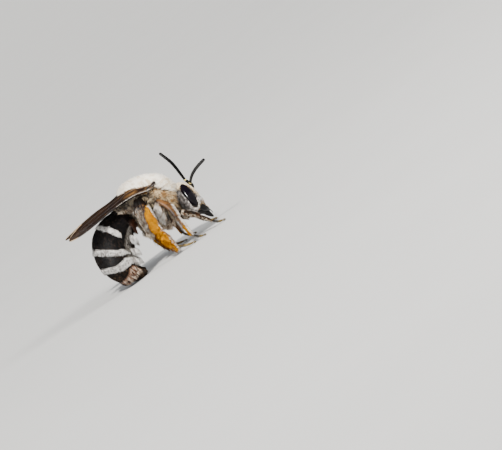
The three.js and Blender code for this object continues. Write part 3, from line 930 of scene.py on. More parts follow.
def make_skin():
    """The whole body from tail to face as one closed form."""
    rows = LAST_ROW * ROWS_PER_RING + 1
    row = np.repeat(np.linspace(0, LAST_ROW, rows), SECTORS)
    angle = np.tile(np.arange(SECTORS) / SECTORS * FULL_TURN, rows)
    points = body(row, angle)
    points[:, 2] = np.maximum(points[:, 2], 0.012)
    quads, caps = closed_grid(rows, SECTORS)
    ends = [points[:SECTORS].mean(axis=0) + [0.05, 0, 0], points[-SECTORS:].mean(axis=0) + [0.012, 0, 0]]
    shape = Shape()
    charts = np.stack([row / LAST_ROW, angle / FULL_TURN], -1)
    charts = np.vstack([charts, [0, 0.5], [1, 0.5]])
    shape.add(np.vstack([points, ends]), quads, caps, charts)
    middle_row = row[quads[:, 0]] + 0.5 / ROWS_PER_RING
    middle_angle = angle[quads[:, 0]] + math.pi / SECTORS
    place, along, _ = slopes(smooth_body, middle_row, middle_angle)
    zones = skin_zone(middle_row, facing(middle_angle), place, np.linalg.norm(along, axis=1))
    zones = np.concatenate([zones, np.zeros(SECTORS), np.full(SECTORS, 5)])
    finishes = [BELLY_SHELL, PLUSH_SKIN, SIDE_SKIN, BAND_SKIN, CHEEK_SKIN, FACE_SHELL]
    nodes = ["thorax", "head"] + [f"abdomen_{number}" for number in range(1, 7)]
    shape.make("body_skin", "black_pile", finishes, nodes, zones=zones)


# ---------------------------------------------------------------- the coat

DENSITY = 1.0
SCATTER_ROUNDS = 40


class Roots:
    """Where tufts grow: place, outward normal, running directions and chart place of each."""

    def __init__(self, surface, hand, row, angle, chart):
        self.row = row
        self.angle = angle
        self.place, along, around = slopes(surface, row, angle)
        across = np.cross(along, around) * hand
        self.area = np.linalg.norm(across, axis=1)
        self.normal = unit(across)
        self.pace = np.linalg.norm(along, axis=1)
        self.along = unit(along)
        self.around = unit(around)
        self.chart = chart(row, angle)

    def pick(self, chosen):
        """Keeps the chosen roots only."""
        for label, values in vars(self).items():
            setattr(self, label, values[chosen])
        return self


def body_chart(row, angle):
    """A body root's place on the chart, from tail to face and round the body."""
    return np.stack([row / LAST_ROW, (angle / FULL_TURN) % 1.0], -1)


def scatter(count, rows, angles, mask, surface=body, hand=-1, chart=body_chart):
    """Roots spread evenly over a surface, as thick as the mask says."""
    count = int(count * DENSITY)
    ceiling = None
    found = []
    total = 0
    for _ in range(SCATTER_ROUNDS):
        row = rng.uniform(*rows, 2 * count + 2000)
        angle = rng.uniform(*angles, 2 * count + 2000)
        roots = Roots(surface, hand, row, angle, chart)
        weight = roots.area * mask(roots)
        if ceiling is None:
            ceiling = np.percentile(weight, 99.7)
        chosen = np.flatnonzero(rng.uniform(0, ceiling, len(weight)) < weight)
        found.append(roots.pick(chosen))
        total += len(chosen)
        if total >= count:
            break
    merged = found[0]
    for label in list(vars(merged)):
        setattr(merged, label, np.concatenate([getattr(roots, label) for roots in found])[:count])
    return merged


RING = np.arange(3) / 3 * FULL_TURN
TUFT_QUADS = np.array([(0, 1, 4, 3), (1, 2, 5, 4), (2, 0, 3, 5)])
TUFT_TRIANGLES = np.array([(3, 4, 6), (4, 5, 6), (5, 3, 6)])
# The tone from root to tip of a tuft's seven points: a ring at the root, one halfway, and the tip.
TUFT_SHARES = (0, 0, 0, 0.55, 0.55, 0.55, 1.0)
TUFT_POINTS = len(TUFT_SHARES)
TUFT_SINK = 0.03
LIFT_CHANGE = 0.12
LENGTH_CHANGE = 0.16
PATCH_SHAPE = np.array([(-1, -1), (0, -1), (1, -1), (-1, 0), (0, 0), (1, 0), (0, 1)]) * PATCH / 2


def add_tufts(shape, roots, lie, length, lift, curl, width, spread, clump=0.0, clump_size=0.15):
    """Grows a tuft from each root.

    Lie is the way it leans, lift its angle off the skin and curl its bend back down. Clump draws the tips
    of neighbours together, in cells of the clump size.
    """
    count = len(roots.row)
    lie = np.broadcast_to(np.asarray(lie, float), (count, 3))
    pull = unit(lie - (lie * roots.normal).sum(axis=1)[:, None] * roots.normal)
    side = np.cross(roots.normal, pull)
    change = rng.normal(size=(count, 3))
    lift = np.broadcast_to(lift, count) + LIFT_CHANGE * change[:, 0]
    reach = (np.broadcast_to(length, count) * np.clip(1 + LENGTH_CHANGE * change[:, 1], 0.55, 1.4))[:, None]
    sway = (spread * change[:, 2])[:, None] * side

    def way(angle):
        return unit(np.cos(angle)[:, None] * pull + np.sin(angle)[:, None] * roots.normal + sway)

    root = roots.place - roots.normal * TUFT_SINK
    middle = root + way(lift) * reach * 0.5
    tip = middle + way(lift - curl) * reach * 0.5
    cells = np.floor(roots.place / clump_size + 0.2 * lumps(roots.place, 0.4, 3)[:, None]).astype(int)
    _, member = np.unique(cells, axis=0, return_inverse=True)
    member = member.ravel()
    sizes = np.bincount(member)
    centre = np.stack([np.bincount(member, tip[:, axis]) / sizes for axis in range(3)], -1)
    middle += clump * 0.4 * (centre[member] - tip)
    tip += clump * (centre[member] - tip)
    lock = 0.7 * rng.uniform(size=len(sizes))[member] + 0.3 * rng.uniform(size=count)
    heading = unit(tip - root)
    across = unit(np.cross(heading, roots.normal + 0.3 * roots.around))
    other = np.cross(heading, across)
    points = np.empty((count, TUFT_POINTS, 3))
    for start, centre, radius in ((0, root, width / 2), (3, middle, width * 0.42)):
        for corner, angle in enumerate(RING):
            points[:, start + corner] = centre + radius * (math.cos(angle) * across + math.sin(angle) * other)
    points[:, -1] = tip
    points[:, :, 2] = np.maximum(points[:, :, 2], 0.006)
    starts = (np.arange(count) * TUFT_POINTS)[:, None, None]
    shape.add(
        points.reshape(-1, 3),
        (TUFT_QUADS + starts).reshape(-1, 4),
        (TUFT_TRIANGLES + starts).reshape(-1, 3),
        (roots.chart[:, None, :] + PATCH_SHAPE).reshape(-1, 2),
        np.tile(TUFT_SHARES, count),
        np.repeat(lock, TUFT_POINTS),
    )


def coat_piece(name, slot, finish, roots, lie, length, lift, *form):
    """A piece of its own; form is its tufts' curl, width and spread, then their clump and its size."""
    shape = Shape()
    add_tufts(shape, roots, lie, length, lift, *form)
    shape.make(name, slot, [finish], coat=True)


BACK, DOWN, FORWARD, UP = np.array([(-1, 0, 0), (0, 0, -1), (1, 0, 0), (0, 0, 1)], float)
SIDES = (("right", (0, math.pi)), ("left", (-math.pi, 0)))


def tailward(roots):
    return -roots.along


def sideways(roots):
    """The way out from the middle of the body, to the left or right, easing off at the middle."""
    return np.clip(roots.place[:, 1] / 0.9, -1, 1)[:, None] * np.array([0, 1, 0])


def plush_coat(word, side):
    """Ivory plush over the back and collar: upright, fanned to the rear and forward over the neck."""
    roots = scatter(13400, (15.0, 22.6), side, lambda r: plush_share(r.place) * (r.place[:, 0] > 0.05))
    x = roots.place[:, 0]
    down = smooth_step(0.5, 1.5, np.abs(roots.angle))[:, None]
    forward = smooth_step(2.2, 4.0, x)[:, None]
    rear = smooth_step(1.1, 0.3, x)[:, None]
    lie = (1 - forward) * BACK + forward * (FORWARD * 0.9 + DOWN * 0.2) + 0.35 * sideways(roots)
    lie = (1 - rear) * (lie + down * DOWN * 0.7) + rear * (UP + 0.25 * sideways(roots))
    lie = lie + 0.4 * rng.normal(size=lie.shape) * [1, 1, 0]
    lift = np.radians(line(x, (0.0, 42), (0.5, 56), (1.2, 78), (2.6, 80), (3.4, 70), (4.2, 56)))
    lift = lift * (1 - 0.16 * smooth_step(0.6, 0.25, np.abs(roots.angle)) * smooth_step(0.9, 1.5, x))
    length = line(x, (0.0, 1.15), (0.6, 1.15), (1.5, 1.02), (2.6, 0.9), (3.4, 1.0), (4.2, 0.95))
    length = length * line(np.abs(roots.angle), (0, 1), (0.9, 0.9), (1.5, 0.7))
    pressed = 0.65 * smooth_step(1.4, 1.7, np.abs(roots.place[:, 1]))
    pressed = pressed * smooth_step(0.2, 0.6, x) * smooth_step(2.9, 2.5, x)
    coat_piece(
        f"plush_back_{word}", "plush", IVORY, roots, lie, length * (1 - pressed), lift * (1 - pressed),
        0.15, 0.048, 0.1, 0.62, 0.2,
    )


def side_coat(word, side):
    """Cream behind the head, buff down the sides and dark hair as painted shade in their hollows, lying back
    and down.
    """

    def bare_of_plush(r):
        return 1 - plush_share(r.place)

    def front_share(r):
        place = r.place[:, 0] + 0.4 * (r.place[:, 2] - 4.8) + 0.2 * lumps(r.place, 0.5, 22)
        return smooth_step(2.7, 3.5, place) * smooth_step(3.3, 4.0, r.place[:, 2])

    def shade(r):
        """0 where the side is buff, 1 where it is dark: painted shade in the hollow before the hind leg and
        low on the thorax's rear by the waist, darker low on the side, and random patches.
        """
        x, z = r.place[:, 0], r.place[:, 2]
        # Painted shade: dark hair in the hollow before the hind leg and in the recess low on the thorax's
        # rear by the waist.
        hollow_shade = np.exp(-(((x - 1.8) / 0.6) ** 2 + ((z - 5.4) / 0.9) ** 2))
        waist = smooth_step(0.7, 0.2, x) * smooth_step(6.1, 5.6, z)
        low = smooth_step(4.1, 3.2, z) * smooth_step(3.4, 2.8, x)
        patchy = 0.35 * lumps(r.place, 0.5, 21)
        return np.clip(0.9 * hollow_shade + 0.75 * waist + 0.3 * low + patchy - 0.02, 0, 0.95)

    thorax = (14.7, 22.6)
    for count, name, finish, mask in (
        (2200, "cream", COLLAR, lambda r: bare_of_plush(r) * front_share(r)),
        (5000, "buff", BUFF, lambda r: bare_of_plush(r) * (1 - front_share(r)) * (1 - shade(r))),
        # This dark piece carries the painted shade that the mask puts in the hollows.
        (3000, "dark", DARK_FLANK, lambda r: bare_of_plush(r) * (1 - front_share(r)) * shade(r)),
    ):
        roots = scatter(count, thorax, side, mask)
        x = roots.place[:, 0]
        front = smooth_step(2.9, 3.8, x)[:, None]
        rear = smooth_step(0.5, -0.1, x)[:, None] * smooth_step(5.2, 5.8, roots.place[:, 2])[:, None]
        lie = (1 - front) * (BACK * 0.5 + DOWN * 0.9) + front * (FORWARD * 0.45 + DOWN * 0.8)
        lie = (1 - rear) * lie + rear * (sideways(roots) * 0.5 + UP * 0.3 + BACK * 0.7)
        under = smooth_step(1.9, 2.5, np.abs(roots.angle))
        length = 0.52 + 0.06 * under + 0.2 * front[:, 0] + 0.35 * rear[:, 0]
        lift = np.radians(36 + 18 * under + 14 * front[:, 0])
        coat_piece(
            f"side_hair_{name}_{word}", "plush", finish, roots, lie, length, lift,
            0.35, 0.05, 0.3, 0.62, 0.22,
        )


def waist_coat(word, side):
    """Long tan hair on the rear of the thorax that closes the gap over the waist."""
    roots = scatter(1100, (14.7, 16.5), side, lambda r: smooth_step(1.5, 1.2, np.abs(r.angle)))
    lie = BACK + 0.6 * UP + 0.3 * sideways(roots)
    coat_piece(
        f"waist_hair_{word}", "plush", FRINGE, roots, lie, 1.05, math.radians(44),
        0.25, 0.046, 0.3, 0.6, 0.22,
    )


def bare_face(local):
    """1 on the bare shield of the face and round the feelers' sockets."""
    shield = dome(local[:, 1:], (0, -0.98), (1.02, 1.12)) * (local[:, 0] > 0.25)
    beside = (local[:, 2] < -0.9) & (local[:, 0] > 0.02 + 0.25 * (local[:, 2] + 1.6))
    sockets = dome(np.abs(local[:, 1:2]) * [1, 0] + local[:, 2:] * [0, 1], (0.36, 0.06), (0.2, 0.2))
    return (shield > 0.02) | (sockets > 0.2) | beside


def clear_head(r):
    """1 where hair may grow on the head: off the eyes and off the bare face."""
    return (eye_share(r.place, 1.01) > 1) * (1 - bare_face(in_head(r.place)))


def crown_share(r):
    """1 on the crown and brow, where the hair is cream."""
    local = in_head(r.place)
    edge = line(local[:, 0], (-0.9, 1.0), (-0.3, 1.05), (0.1, 0.6), (0.45, -0.2), (0.9, -0.7))
    return smooth_step(-0.25, 0.25, local[:, 2] + 0.16 * lumps(r.place, 0.25, 4) - edge)


def chin_share(r):
    """1 low on the head, where the hair is white."""
    local = in_head(r.place)
    beard = smooth_step(-0.42, -0.72, local[:, 2] + 0.16 * lumps(r.place, 0.25, 6))
    return (1 - crown_share(r)) * beard * (1 - 0.75 * smooth_step(-1.3, -1.55, local[:, 2]))


def behind_eye(r):
    """1 on the narrow white line behind each eye."""
    gap = eye_share(r.place)
    local = in_head(r.place)
    mottled = smooth_step(-0.35, 0.25, lumps(r.place, 0.16, 9))
    return (gap > 1.0) * (gap < 1.32) * (local[:, 0] < -0.25) * (np.abs(local[:, 2]) < 0.68) * mottled


def head_coat(word, side):
    """Cream on the crown and brow, grey on the cheeks, white beneath."""

    def bare_front(r):
        local = in_head(r.place)
        return bare_face(local) * (local[:, 0] > 0.3)

    def lip(r):
        local = in_head(r.place)
        return bare_face(local) * (local[:, 2] < -0.9)

    head = (24.4, 31.9)
    cream = Shape()
    roots = scatter(3300, head, side, lambda r: clear_head(r) * crown_share(r))
    local = in_head(roots.place)
    face = smooth_step(0.1, 0.6, local[:, 0])[:, None]
    lie = (1 - face) * (FORWARD * 0.7 + UP * 0.6) + face * (DOWN * 0.8 + sideways(roots) * 0.4)
    length = line(local[:, 0], (-0.9, 0.42), (-0.2, 0.32), (0.4, 0.26), (0.8, 0.22))
    lift = np.radians(line(local[:, 0], (-0.9, 54), (-0.2, 48), (0.4, 46), (0.8, 42)))
    add_tufts(cream, roots, lie, length, lift, 0.2, 0.036, 0.3, 0.55, 0.12)
    roots = scatter(260, (27.5, 31.9), side, bare_front)
    add_tufts(cream, roots, DOWN, 0.1, math.radians(35), 0.2, 0.014, 0.3)
    cream.make(f"crown_hair_{word}", "face_hair", [CREAM], coat=True)

    roots = scatter(420, head, side, lip)
    lie = DOWN + FORWARD * 0.3
    coat_piece(
        f"lip_hair_{word}", "face_hair", COLLAR, roots, lie, 0.3, math.radians(40),
        0.4, 0.024, 0.4, 0.5, 0.2,
    )

    roots = scatter(3000, head, side, lambda r: clear_head(r) * (1 - crown_share(r)) * (1 - chin_share(r)))
    local = in_head(roots.place)
    behind = smooth_step(-0.4, -0.85, local[:, 0])
    length = 0.26 + 0.24 * behind
    lift = np.radians(24 + 22 * behind)
    coat_piece(
        f"cheek_hair_{word}", "face_hair", GREY, roots, BACK * 0.7 + DOWN * 0.8, length, lift,
        0.2, 0.034, 0.3, 0.62, 0.16,
    )

    beard = Shape()
    roots = scatter(2600, head, side, lambda r: clear_head(r) * chin_share(r))
    local = in_head(roots.place)
    length = 0.36 + 0.2 * smooth_step(-0.8, -1.3, local[:, 2])
    lie = DOWN + BACK * 0.35 + sideways(roots) * 0.3
    add_tufts(beard, roots, lie, length, math.radians(38), 0.5, 0.038, 0.3, 0.66, 0.22)
    roots = scatter(300, (25.5, 29.0), side, behind_eye)
    add_tufts(beard, roots, DOWN + BACK * 0.3, 0.2, math.radians(34), 0.3, 0.028, 0.3, 0.5, 0.14)
    beard.make(f"beard_{word}", "face_hair", [BEARD], coat=True)


def tail_share(r):
    """1 toward the tail, where the pile is brown."""
    return smooth_step(8.15, 8.5, TAIL_BASE_ROW - r.row)


def band_place(r):
    return band_share(r.row, r.angle, r.place, r.pace)


def abdomen_coat(word, side):
    """Short black pile with white bands, brown toward the tail, and the fringe before its tip."""
    roots = scatter(8800, (4.5, 13.2), side, lambda r: (1 - band_place(r)) * (1 - tail_share(r)))
    under = smooth_step(1.9, 2.4, np.abs(roots.angle))
    length = 0.17 + 0.08 * under
    coat_piece(
        f"black_pile_{word}", "black_pile", PILE, roots, tailward(roots), length, math.radians(24),
        0.15, 0.029, 0.2,
    )

    roots = scatter(4000, (0.1, 5.2), side, tail_share)
    plate = TAIL_BASE_ROW - roots.row
    length = line(plate, (8.2, 0.24), (9.6, 0.34), (11, 0.32), (12.5, 0.22))
    coat_piece(
        f"tail_pile_{word}", "black_pile", BROWN_PILE, roots, tailward(roots), length, math.radians(26),
        0.2, 0.034, 0.25, 0.5, 0.18,
    )

    roots = scatter(8800, (4.5, 11.4), side, band_place)
    length = 0.27 + 0.03 * lumps(roots.place, 0.5, 12)
    coat_piece(
        f"white_bands_{word}", "black_pile", BAND, roots, tailward(roots), length, math.radians(24),
        0.2, 0.04, 0.16, 0.5, 0.14,
    )

    def fringe_line(r):
        gap, which = band_gap(r.row, r.angle, r.pace)
        down = np.abs(r.angle)
        reach = line(down, (0, 0.3), (1.0, 0.42), (2.1, 0.95))
        return ((which == 4) & (gap < reach)) * (down < 2.4)

    for count, name, finish in ((1150, "tail_fringe", FIMBRIA), (700, "tail_fringe_brown", RUST_HAIR)):
        roots = scatter(count, (1.5, 5.0), side, fringe_line)
        length = 0.74 + 0.16 * lumps(roots.place, 0.25, 14)
        lie = tailward(roots) + 0.4 * DOWN
        coat_piece(
            f"{name}_{word}", "black_pile", finish, roots, lie, length, math.radians(26),
            0.35, 0.042, 0.2, 0.85, 0.24,
        )


def base_and_belly_coat(word, side):
    """A pale tuft on each side of the first plate, silver hair low on the flanks and white tufts beneath."""

    def first_plate(r):
        plate = TAIL_BASE_ROW - r.row
        down = np.abs(r.angle)
        patch = smooth_step(0.12, 0.4, down) * smooth_step(1.25, 0.95, down)
        return smooth_step(-0.1, 0.2, plate) * smooth_step(1.7, 1.1, plate) * patch

    roots = scatter(1300, (10.5, 13.1), side, first_plate)
    lie = tailward(roots) * 0.3 + sideways(roots) * 0.5 + UP * 0.6
    coat_piece(
        f"first_plate_hair_{word}", "black_pile", FRINGE, roots, lie, 0.6, math.radians(46),
        0.3, 0.044, 0.3, 0.6, 0.22,
    )

    def flank(r):
        down = np.abs(r.angle)
        plate = TAIL_BASE_ROW - r.row
        across = smooth_step(1.95, 2.1, down) * smooth_step(2.5, 2.3, down)
        return across * smooth_step(1.5, 2.6, plate) * (plate < 6.4)

    roots = scatter(900, (6.0, 12.0), side, flank)
    lie = tailward(roots) * 0.6 + sideways(roots) * 0.2 + DOWN * 0.4
    coat_piece(
        f"silver_hair_{word}", "black_pile", SILVER, roots, lie, 0.28, math.radians(26),
        0.2, 0.028, 0.3, 0.4, 0.2,
    )

    def tuft_spots(r):
        gap, which = band_gap(r.row, r.angle, r.pace)
        down = np.abs(r.angle)
        near = ((which >= 1) & (which <= 3)) * (gap < 0.4)
        return near * smooth_step(2.25, 2.5, down) * smooth_step(3.1, 2.85, down)

    def first_belly(r):
        return smooth_step(1.7, 2.0, np.abs(r.angle)) * smooth_step(3.1, 2.9, np.abs(r.angle))

    roots = scatter(520, (10.9, 13.0), side, first_belly)
    lie = DOWN + 0.45 * FORWARD + 0.2 * sideways(roots)
    coat_piece(
        f"first_belly_hair_{word}", "black_pile", RUST_HAIR, roots, lie, 0.8, math.radians(34),
        0.3, 0.042, 0.3, 0.6, 0.26,
    )

    roots = scatter(2600, (4.6, 11.2), side, tuft_spots)
    lie = tailward(roots) * 0.5 + sideways(roots) * 0.5 + FORWARD * 0.35
    coat_piece(
        f"belly_tufts_{word}", "black_pile", BAND, roots, lie, 0.85, math.radians(42),
        0.35, 0.042, 0.3, 0.5, 0.26,
    )


# ---------------------------------------------------------------- eyes, feelers and mouth


def make_eyes():
    """The two big eyes, and the three small ones on the crown."""
    for side, word in ((-1, "right"), (1, "left")):
        shape = Shape()
        sizes = EYE_SIZES * [0.97, 0.97, 0.985]
        add_ball(shape, np.zeros(3), sizes, 60, 72, math.radians(EYE_TURN * side))
        shape.points[0] = from_head(shape.points[0] + EYE_CENTRE * [1, side, 1])
        shape.make(f"eye_{word}_facets", "eye", [EYE], [f"eye_{word}"])
    ocelli = Shape()
    for forward, side in ((0.02, 0.0), (-0.2, 0.3), (-0.2, -0.3)):
        spot = from_head([forward, side, 1.36 if side else 1.33])
        add_ball(ocelli, spot, (0.12, 0.12, 0.11), 10, 16)
    ocelli.make("ocelli", "eye", [EYE])


# The right and left feelers stand differently; each scape runs from its socket through these points.
SCAPE = {
    "right": [(5.92, -0.72, 4.12), (5.86, -1.12, 4.46)],
    "left": [(5.96, 0.68, 4.30), (5.84, 0.90, 4.74)],
}
FLAGELLUM = {
    "right": [
        (5.86, -1.14, 4.48), (6.27, -1.65, 4.93), (6.72, -2.12, 5.22),
        (7.25, -2.62, 5.43), (7.95, -3.22, 5.62),
    ],
    "left": [
        (5.84, 0.92, 4.78), (5.84, 1.06, 5.50), (5.84, 1.20, 6.20),
        (5.76, 1.34, 6.95), (5.43, 1.50, 8.12),
    ],
}
FEELER_JOINTS = 11


def lash_swell(share):
    """Rounded joints, a little narrower where one meets the next."""
    place = share * FEELER_JOINTS
    inside = place - np.floor(place)
    waist = np.minimum(inside, 1 - inside)
    return -0.13 * np.exp(-((waist / 0.06) ** 2)) + 0.03 * np.sin(inside * math.pi)


def make_feelers():
    """Each has a bent scape, a small pale ring and a lash of rounded joints."""
    for side, word in ((-1, "right"), (1, "left")):
        scape = Shape()
        root = from_head([0.78, 0.36 * side, 0.06])
        path = [tuple(root)] + SCAPE[word]
        add_tube(scape, tube_surface(path, (0.11, 0.135, 0.15, 0.13), guide=(1, 0, 0)), 26, 20, 0.7)
        add_ball(scape, root, (0.13, 0.13, 0.13), 10, 16)
        scape.make(f"feeler_scape_{word}", "shell", [FEELER_SHELL], [f"antenna_scape_{word}"])

        lash = Shape()
        route = np.array(FLAGELLUM[word])
        guide = (1, 0, 0) if word == "left" else (0, 0, 1)
        surface = tube_surface(route, (0.12, 0.138, 0.148, 0.15, 0.135), guide=guide)
        add_tube(lash, surface, 190, 22, 0.5, lash_swell, 60)
        lash.make(f"feeler_lash_{word}", "shell", [FEELER_SHELL], [f"antenna_flagellum_{word}"])

        ring = Shape()
        add_ball(ring, route[0] * 0.8 + np.array(path[-1]) * 0.2, (0.135, 0.135, 0.12), 12, 20)
        ring.make(f"feeler_ring_{word}", "shell", [PALE_RING])


# Paths of the mouth's parts from the head's middle; those with a Y are the left one of a pair.
LABRUM = [(0.80, 0, -1.28), (0.86, 0, -1.72), (0.76, 0, -2.14)]
JAW = [(0.14, 1.22, -1.3), (0.56, 1.0, -1.86), (0.92, 0.36, -2.3)]
JAW_MARK = [(0.5, 1.2, -1.44), (0.74, 1.06, -1.77), (0.94, 0.76, -2.02)]
TONGUE_ROOT = [(-0.12, 0, -1.3), (0.16, 0, -1.66), (0.62, 0, -2.3)]
TONGUE = [(0.42, 0, -1.55), (0.66, 0, -2.35), (1.0, 0, -3.02)]
TONGUE_FLAP = [(0.5, 0.16, -1.6), (0.78, 0.15, -2.35), (1.0, 0.07, -2.9)]
PALP = [(0.8, 0.3, -1.9), (1.0, 0.36, -2.3), (1.06, 0.34, -2.7)]


def head_tube(path, side, *form):
    """A tube along a path on the head: on its left, or with side -1 on its right."""
    return tube_surface(from_head(np.array(path) * [1, side, 1]), *form)


def make_mouth():
    """The labrum, the jaws folded over it and the tongue's sheath below."""
    labrum = Shape()
    add_tube(labrum, head_tube(LABRUM, 1, (0.44, 0.48, 0.26), 0.4, (1, 0, 0)), 30, 40, 0.4)
    labrum.make("labrum_plate", "shell", [FACE_SHELL], ["labrum"])
    for side, word in ((-1, "right"), (1, "left")):
        jaw = Shape()
        add_tube(jaw, head_tube(JAW, side, (0.32, 0.28, 0.12), 0.75, (0, 0.3, 1)), 34, 24, 0.45)
        jaw.make(f"jaw_{word}", "shell", [BLACK_SHELL], [f"mandible_{word}"])
        stripe = Shape()
        add_tube(stripe, head_tube(JAW_MARK, side, (0.05, 0.085, 0.04), 0.6, (0, 0.3, 1)), 22, 14, 0.3)
        stripe.make(f"jaw_mark_{word}", "shell", [FACE_MARK])
    tongue = Shape()
    add_tube(tongue, head_tube(TONGUE_ROOT, 1, (0.62, 0.6, 0.26), 0.7, (1, 0, 0.6)), 40, 44, 0.5)
    add_tube(tongue, head_tube(TONGUE, 1, (0.3, 0.26, 0.1)), 36, 24, 0.4)
    for side in (-1, 1):
        add_tube(tongue, head_tube(TONGUE_FLAP, side, (0.15, 0.13, 0.05), 0.6), 30, 18, 0.4)
        add_tube(tongue, head_tube(PALP, side, (0.05, 0.05, 0.03)), 24, 10, 0.4)
    tongue.make("tongue_sheath", "shell", [BLACK_SHELL], ["proboscis"])


# ---------------------------------------------------------------- legs

# Right legs: each part's path and its shell's radii; the left legs mirror them.
LEGS = {
    "fore": {
        "coxa": ([(3.42, -0.92, 2.85), (3.95, -1.20, 2.20)], (0.36, 0.28)),
        "femur": ([(3.95, -1.20, 2.20), (3.72, -1.78, 2.66), (3.46, -2.34, 2.98)], (0.22, 0.31, 0.2)),
        "tibia": ([(3.46, -2.34, 2.98), (4.10, -2.50, 2.36), (4.72, -2.58, 1.62)], (0.16, 0.24, 0.2)),
        "basitarsus": ([(4.72, -2.58, 1.62), (5.02, -2.62, 1.14), (5.28, -2.66, 0.68)], (0.13, 0.14, 0.11)),
        "tarsus": ([(5.28, -2.66, 0.66), (5.68, -2.70, 0.30), (6.12, -2.76, 0.15)], (0.1, 0.1, 0.09)),
    },
    "mid": {
        "coxa": ([(2.05, -0.95, 2.90), (2.22, -1.55, 2.92)], (0.42, 0.34)),
        "femur": ([(2.22, -1.55, 2.92), (2.24, -2.16, 4.05), (2.32, -2.70, 5.12)], (0.27, 0.37, 0.22)),
        "tibia": ([(2.32, -2.72, 5.14), (2.86, -2.88, 4.10), (2.94, -3.00, 2.88)], (0.18, 0.31, 0.27)),
        "basitarsus": ([(2.90, -3.00, 2.88), (2.94, -3.10, 1.80), (2.98, -3.18, 0.80)], (0.16, 0.18, 0.12)),
        "tarsus": ([(2.98, -3.18, 0.78), (3.40, -3.24, 0.32), (3.84, -3.30, 0.15)], (0.1, 0.1, 0.09)),
    },
    "hind": {
        "coxa": ([(0.45, -0.95, 3.05), (0.45, -1.60, 3.40)], (0.46, 0.36)),
        "femur": ([(0.45, -1.60, 3.40), (0.52, -2.10, 4.80), (0.86, -2.50, 6.26)], (0.3, 0.42, 0.38)),
        "tibia": (
            [(1.08, -2.56, 6.22), (1.02, -2.70, 4.90), (0.78, -2.78, 3.80), (0.74, -2.84, 2.80)],
            (0.34, 0.32, 0.36, 0.34),
        ),
        "basitarsus": (
            [(0.74, -2.84, 2.80), (0.92, -2.92, 1.80), (1.06, -2.98, 1.00), (1.16, -3.00, 0.42)],
            (0.3, 0.34, 0.28, 0.16),
        ),
        "tarsus": (
            [(1.24, -3.00, 0.80), (1.80, -3.04, 0.44), (2.28, -3.08, 0.25), (2.72, -3.12, 0.15)],
            (0.1, 0.1, 0.095, 0.085),
        ),
    },
}
FOOT_JOINTS = 4
# How far forward and inward the spurs at each shin's end stand.
SPURS = {"fore": (), "mid": ((0.14, 0.04),), "hind": ((0.1, -0.08), (0.16, 0.1))}
POLLEN_PARTS = (("hind", "tibia"), ("hind", "basitarsus"))
AMBER_PARTS = (("mid", "tibia"), ("mid", "basitarsus"), ("hind", "basitarsus"))
LEG_PARTS = ("coxa", "femur", "tibia", "basitarsus", "tarsus")


def leg_surface(leg, part):
    path, radii = LEGS[leg][part]
    flatten = 0.8 if (leg, part) in POLLEN_PARTS else 0.94
    guide = (0, 0, 1) if part == "coxa" else (0, 1, 0)
    return tube_surface(path, radii, flatten, guide)


def foot_swell(share):
    """Four short heart-shaped joints, each widest at its far end."""
    place = (share * FOOT_JOINTS) % 1.0
    last = share > 1 - 1 / FOOT_JOINTS
    return np.where(last, 0.0, 0.28 * place ** 1.5 - 0.2 * np.exp(-((place / 0.1) ** 2)))


def add_claws(shape, tip, heading):
    """Two curved claws, each with an inner tooth, and the soft pad between them."""
    heading = unit(np.array([heading[0], heading[1], 0.0]))
    side = np.array([-heading[1], heading[0], 0])
    for hand in (-1, 1):
        base = tip + side * 0.05 * hand
        out = base + heading * 0.16 + side * 0.08 * hand + [0, 0, 0.02]
        point = base + heading * 0.28 + side * 0.13 * hand + [0, 0, 0.035 - tip[2]]
        add_tube(shape, tube_surface([base, out, point], (0.05, 0.036, 0.014)), 14, 10, 0.4)
        tooth = base + heading * 0.2 + side * 0.02 * hand + [0, 0, 0.035 - tip[2]]
        path = [base + heading * 0.06, (out + tooth) / 2, tooth]
        add_tube(shape, tube_surface(path, (0.036, 0.028, 0.012)), 10, 8, 0.4)
    add_ball(shape, tip + heading * 0.1 - [0, 0, tip[2] - 0.06], (0.08, 0.06, 0.045), 8, 12)


def add_spurs(shape, leg, end):
    """The spurs at the end of a shin."""
    for ahead, aside in SPURS[leg]:
        knee = end + [ahead, aside * 0.6, -0.2]
        path = [end + [ahead * 0.6, 0, 0.06], knee, end + [ahead + 0.1, aside, -0.5]]
        add_tube(shape, tube_surface(path, (0.045, 0.04, 0.012)), 16, 10, 0.4)


def make_leg_part(leg, part):
    """One part's shell on both sides, with the hip, the spurs or the claws that go with it."""
    shape = Shape()
    path = np.array(LEGS[leg][part][0])
    if part == "femur":
        add_tube(shape, leg_surface(leg, "coxa"), 22, 28, 0.6)
        add_ball(shape, path[0], np.full(3, LEGS[leg][part][1][0] * 1.12), 14, 22)
    foot = part == "tarsus"
    add_tube(shape, leg_surface(leg, part), 64 if foot else 44, 28, 0.55, foot_swell if foot else None)
    if foot:
        add_claws(shape, path[-1], path[-1] - path[-2])
    if part == "tibia":
        add_spurs(shape, leg, path[-1])
    finish = FOOT_SHELL if foot else DARK_LEG_SHELL
    if (leg, part) in AMBER_PARTS:
        finish = AMBER_SHELL
    slot = "pollen" if (leg, part) in POLLEN_PARTS else "leg"
    make_pair(shape, f"{leg}leg_{part}_shell", slot, finish, f"{leg}leg_{part}")


def make_legs():
    for leg in LEGS:
        for part in LEG_PARTS[1:]:
            make_leg_part(leg, part)


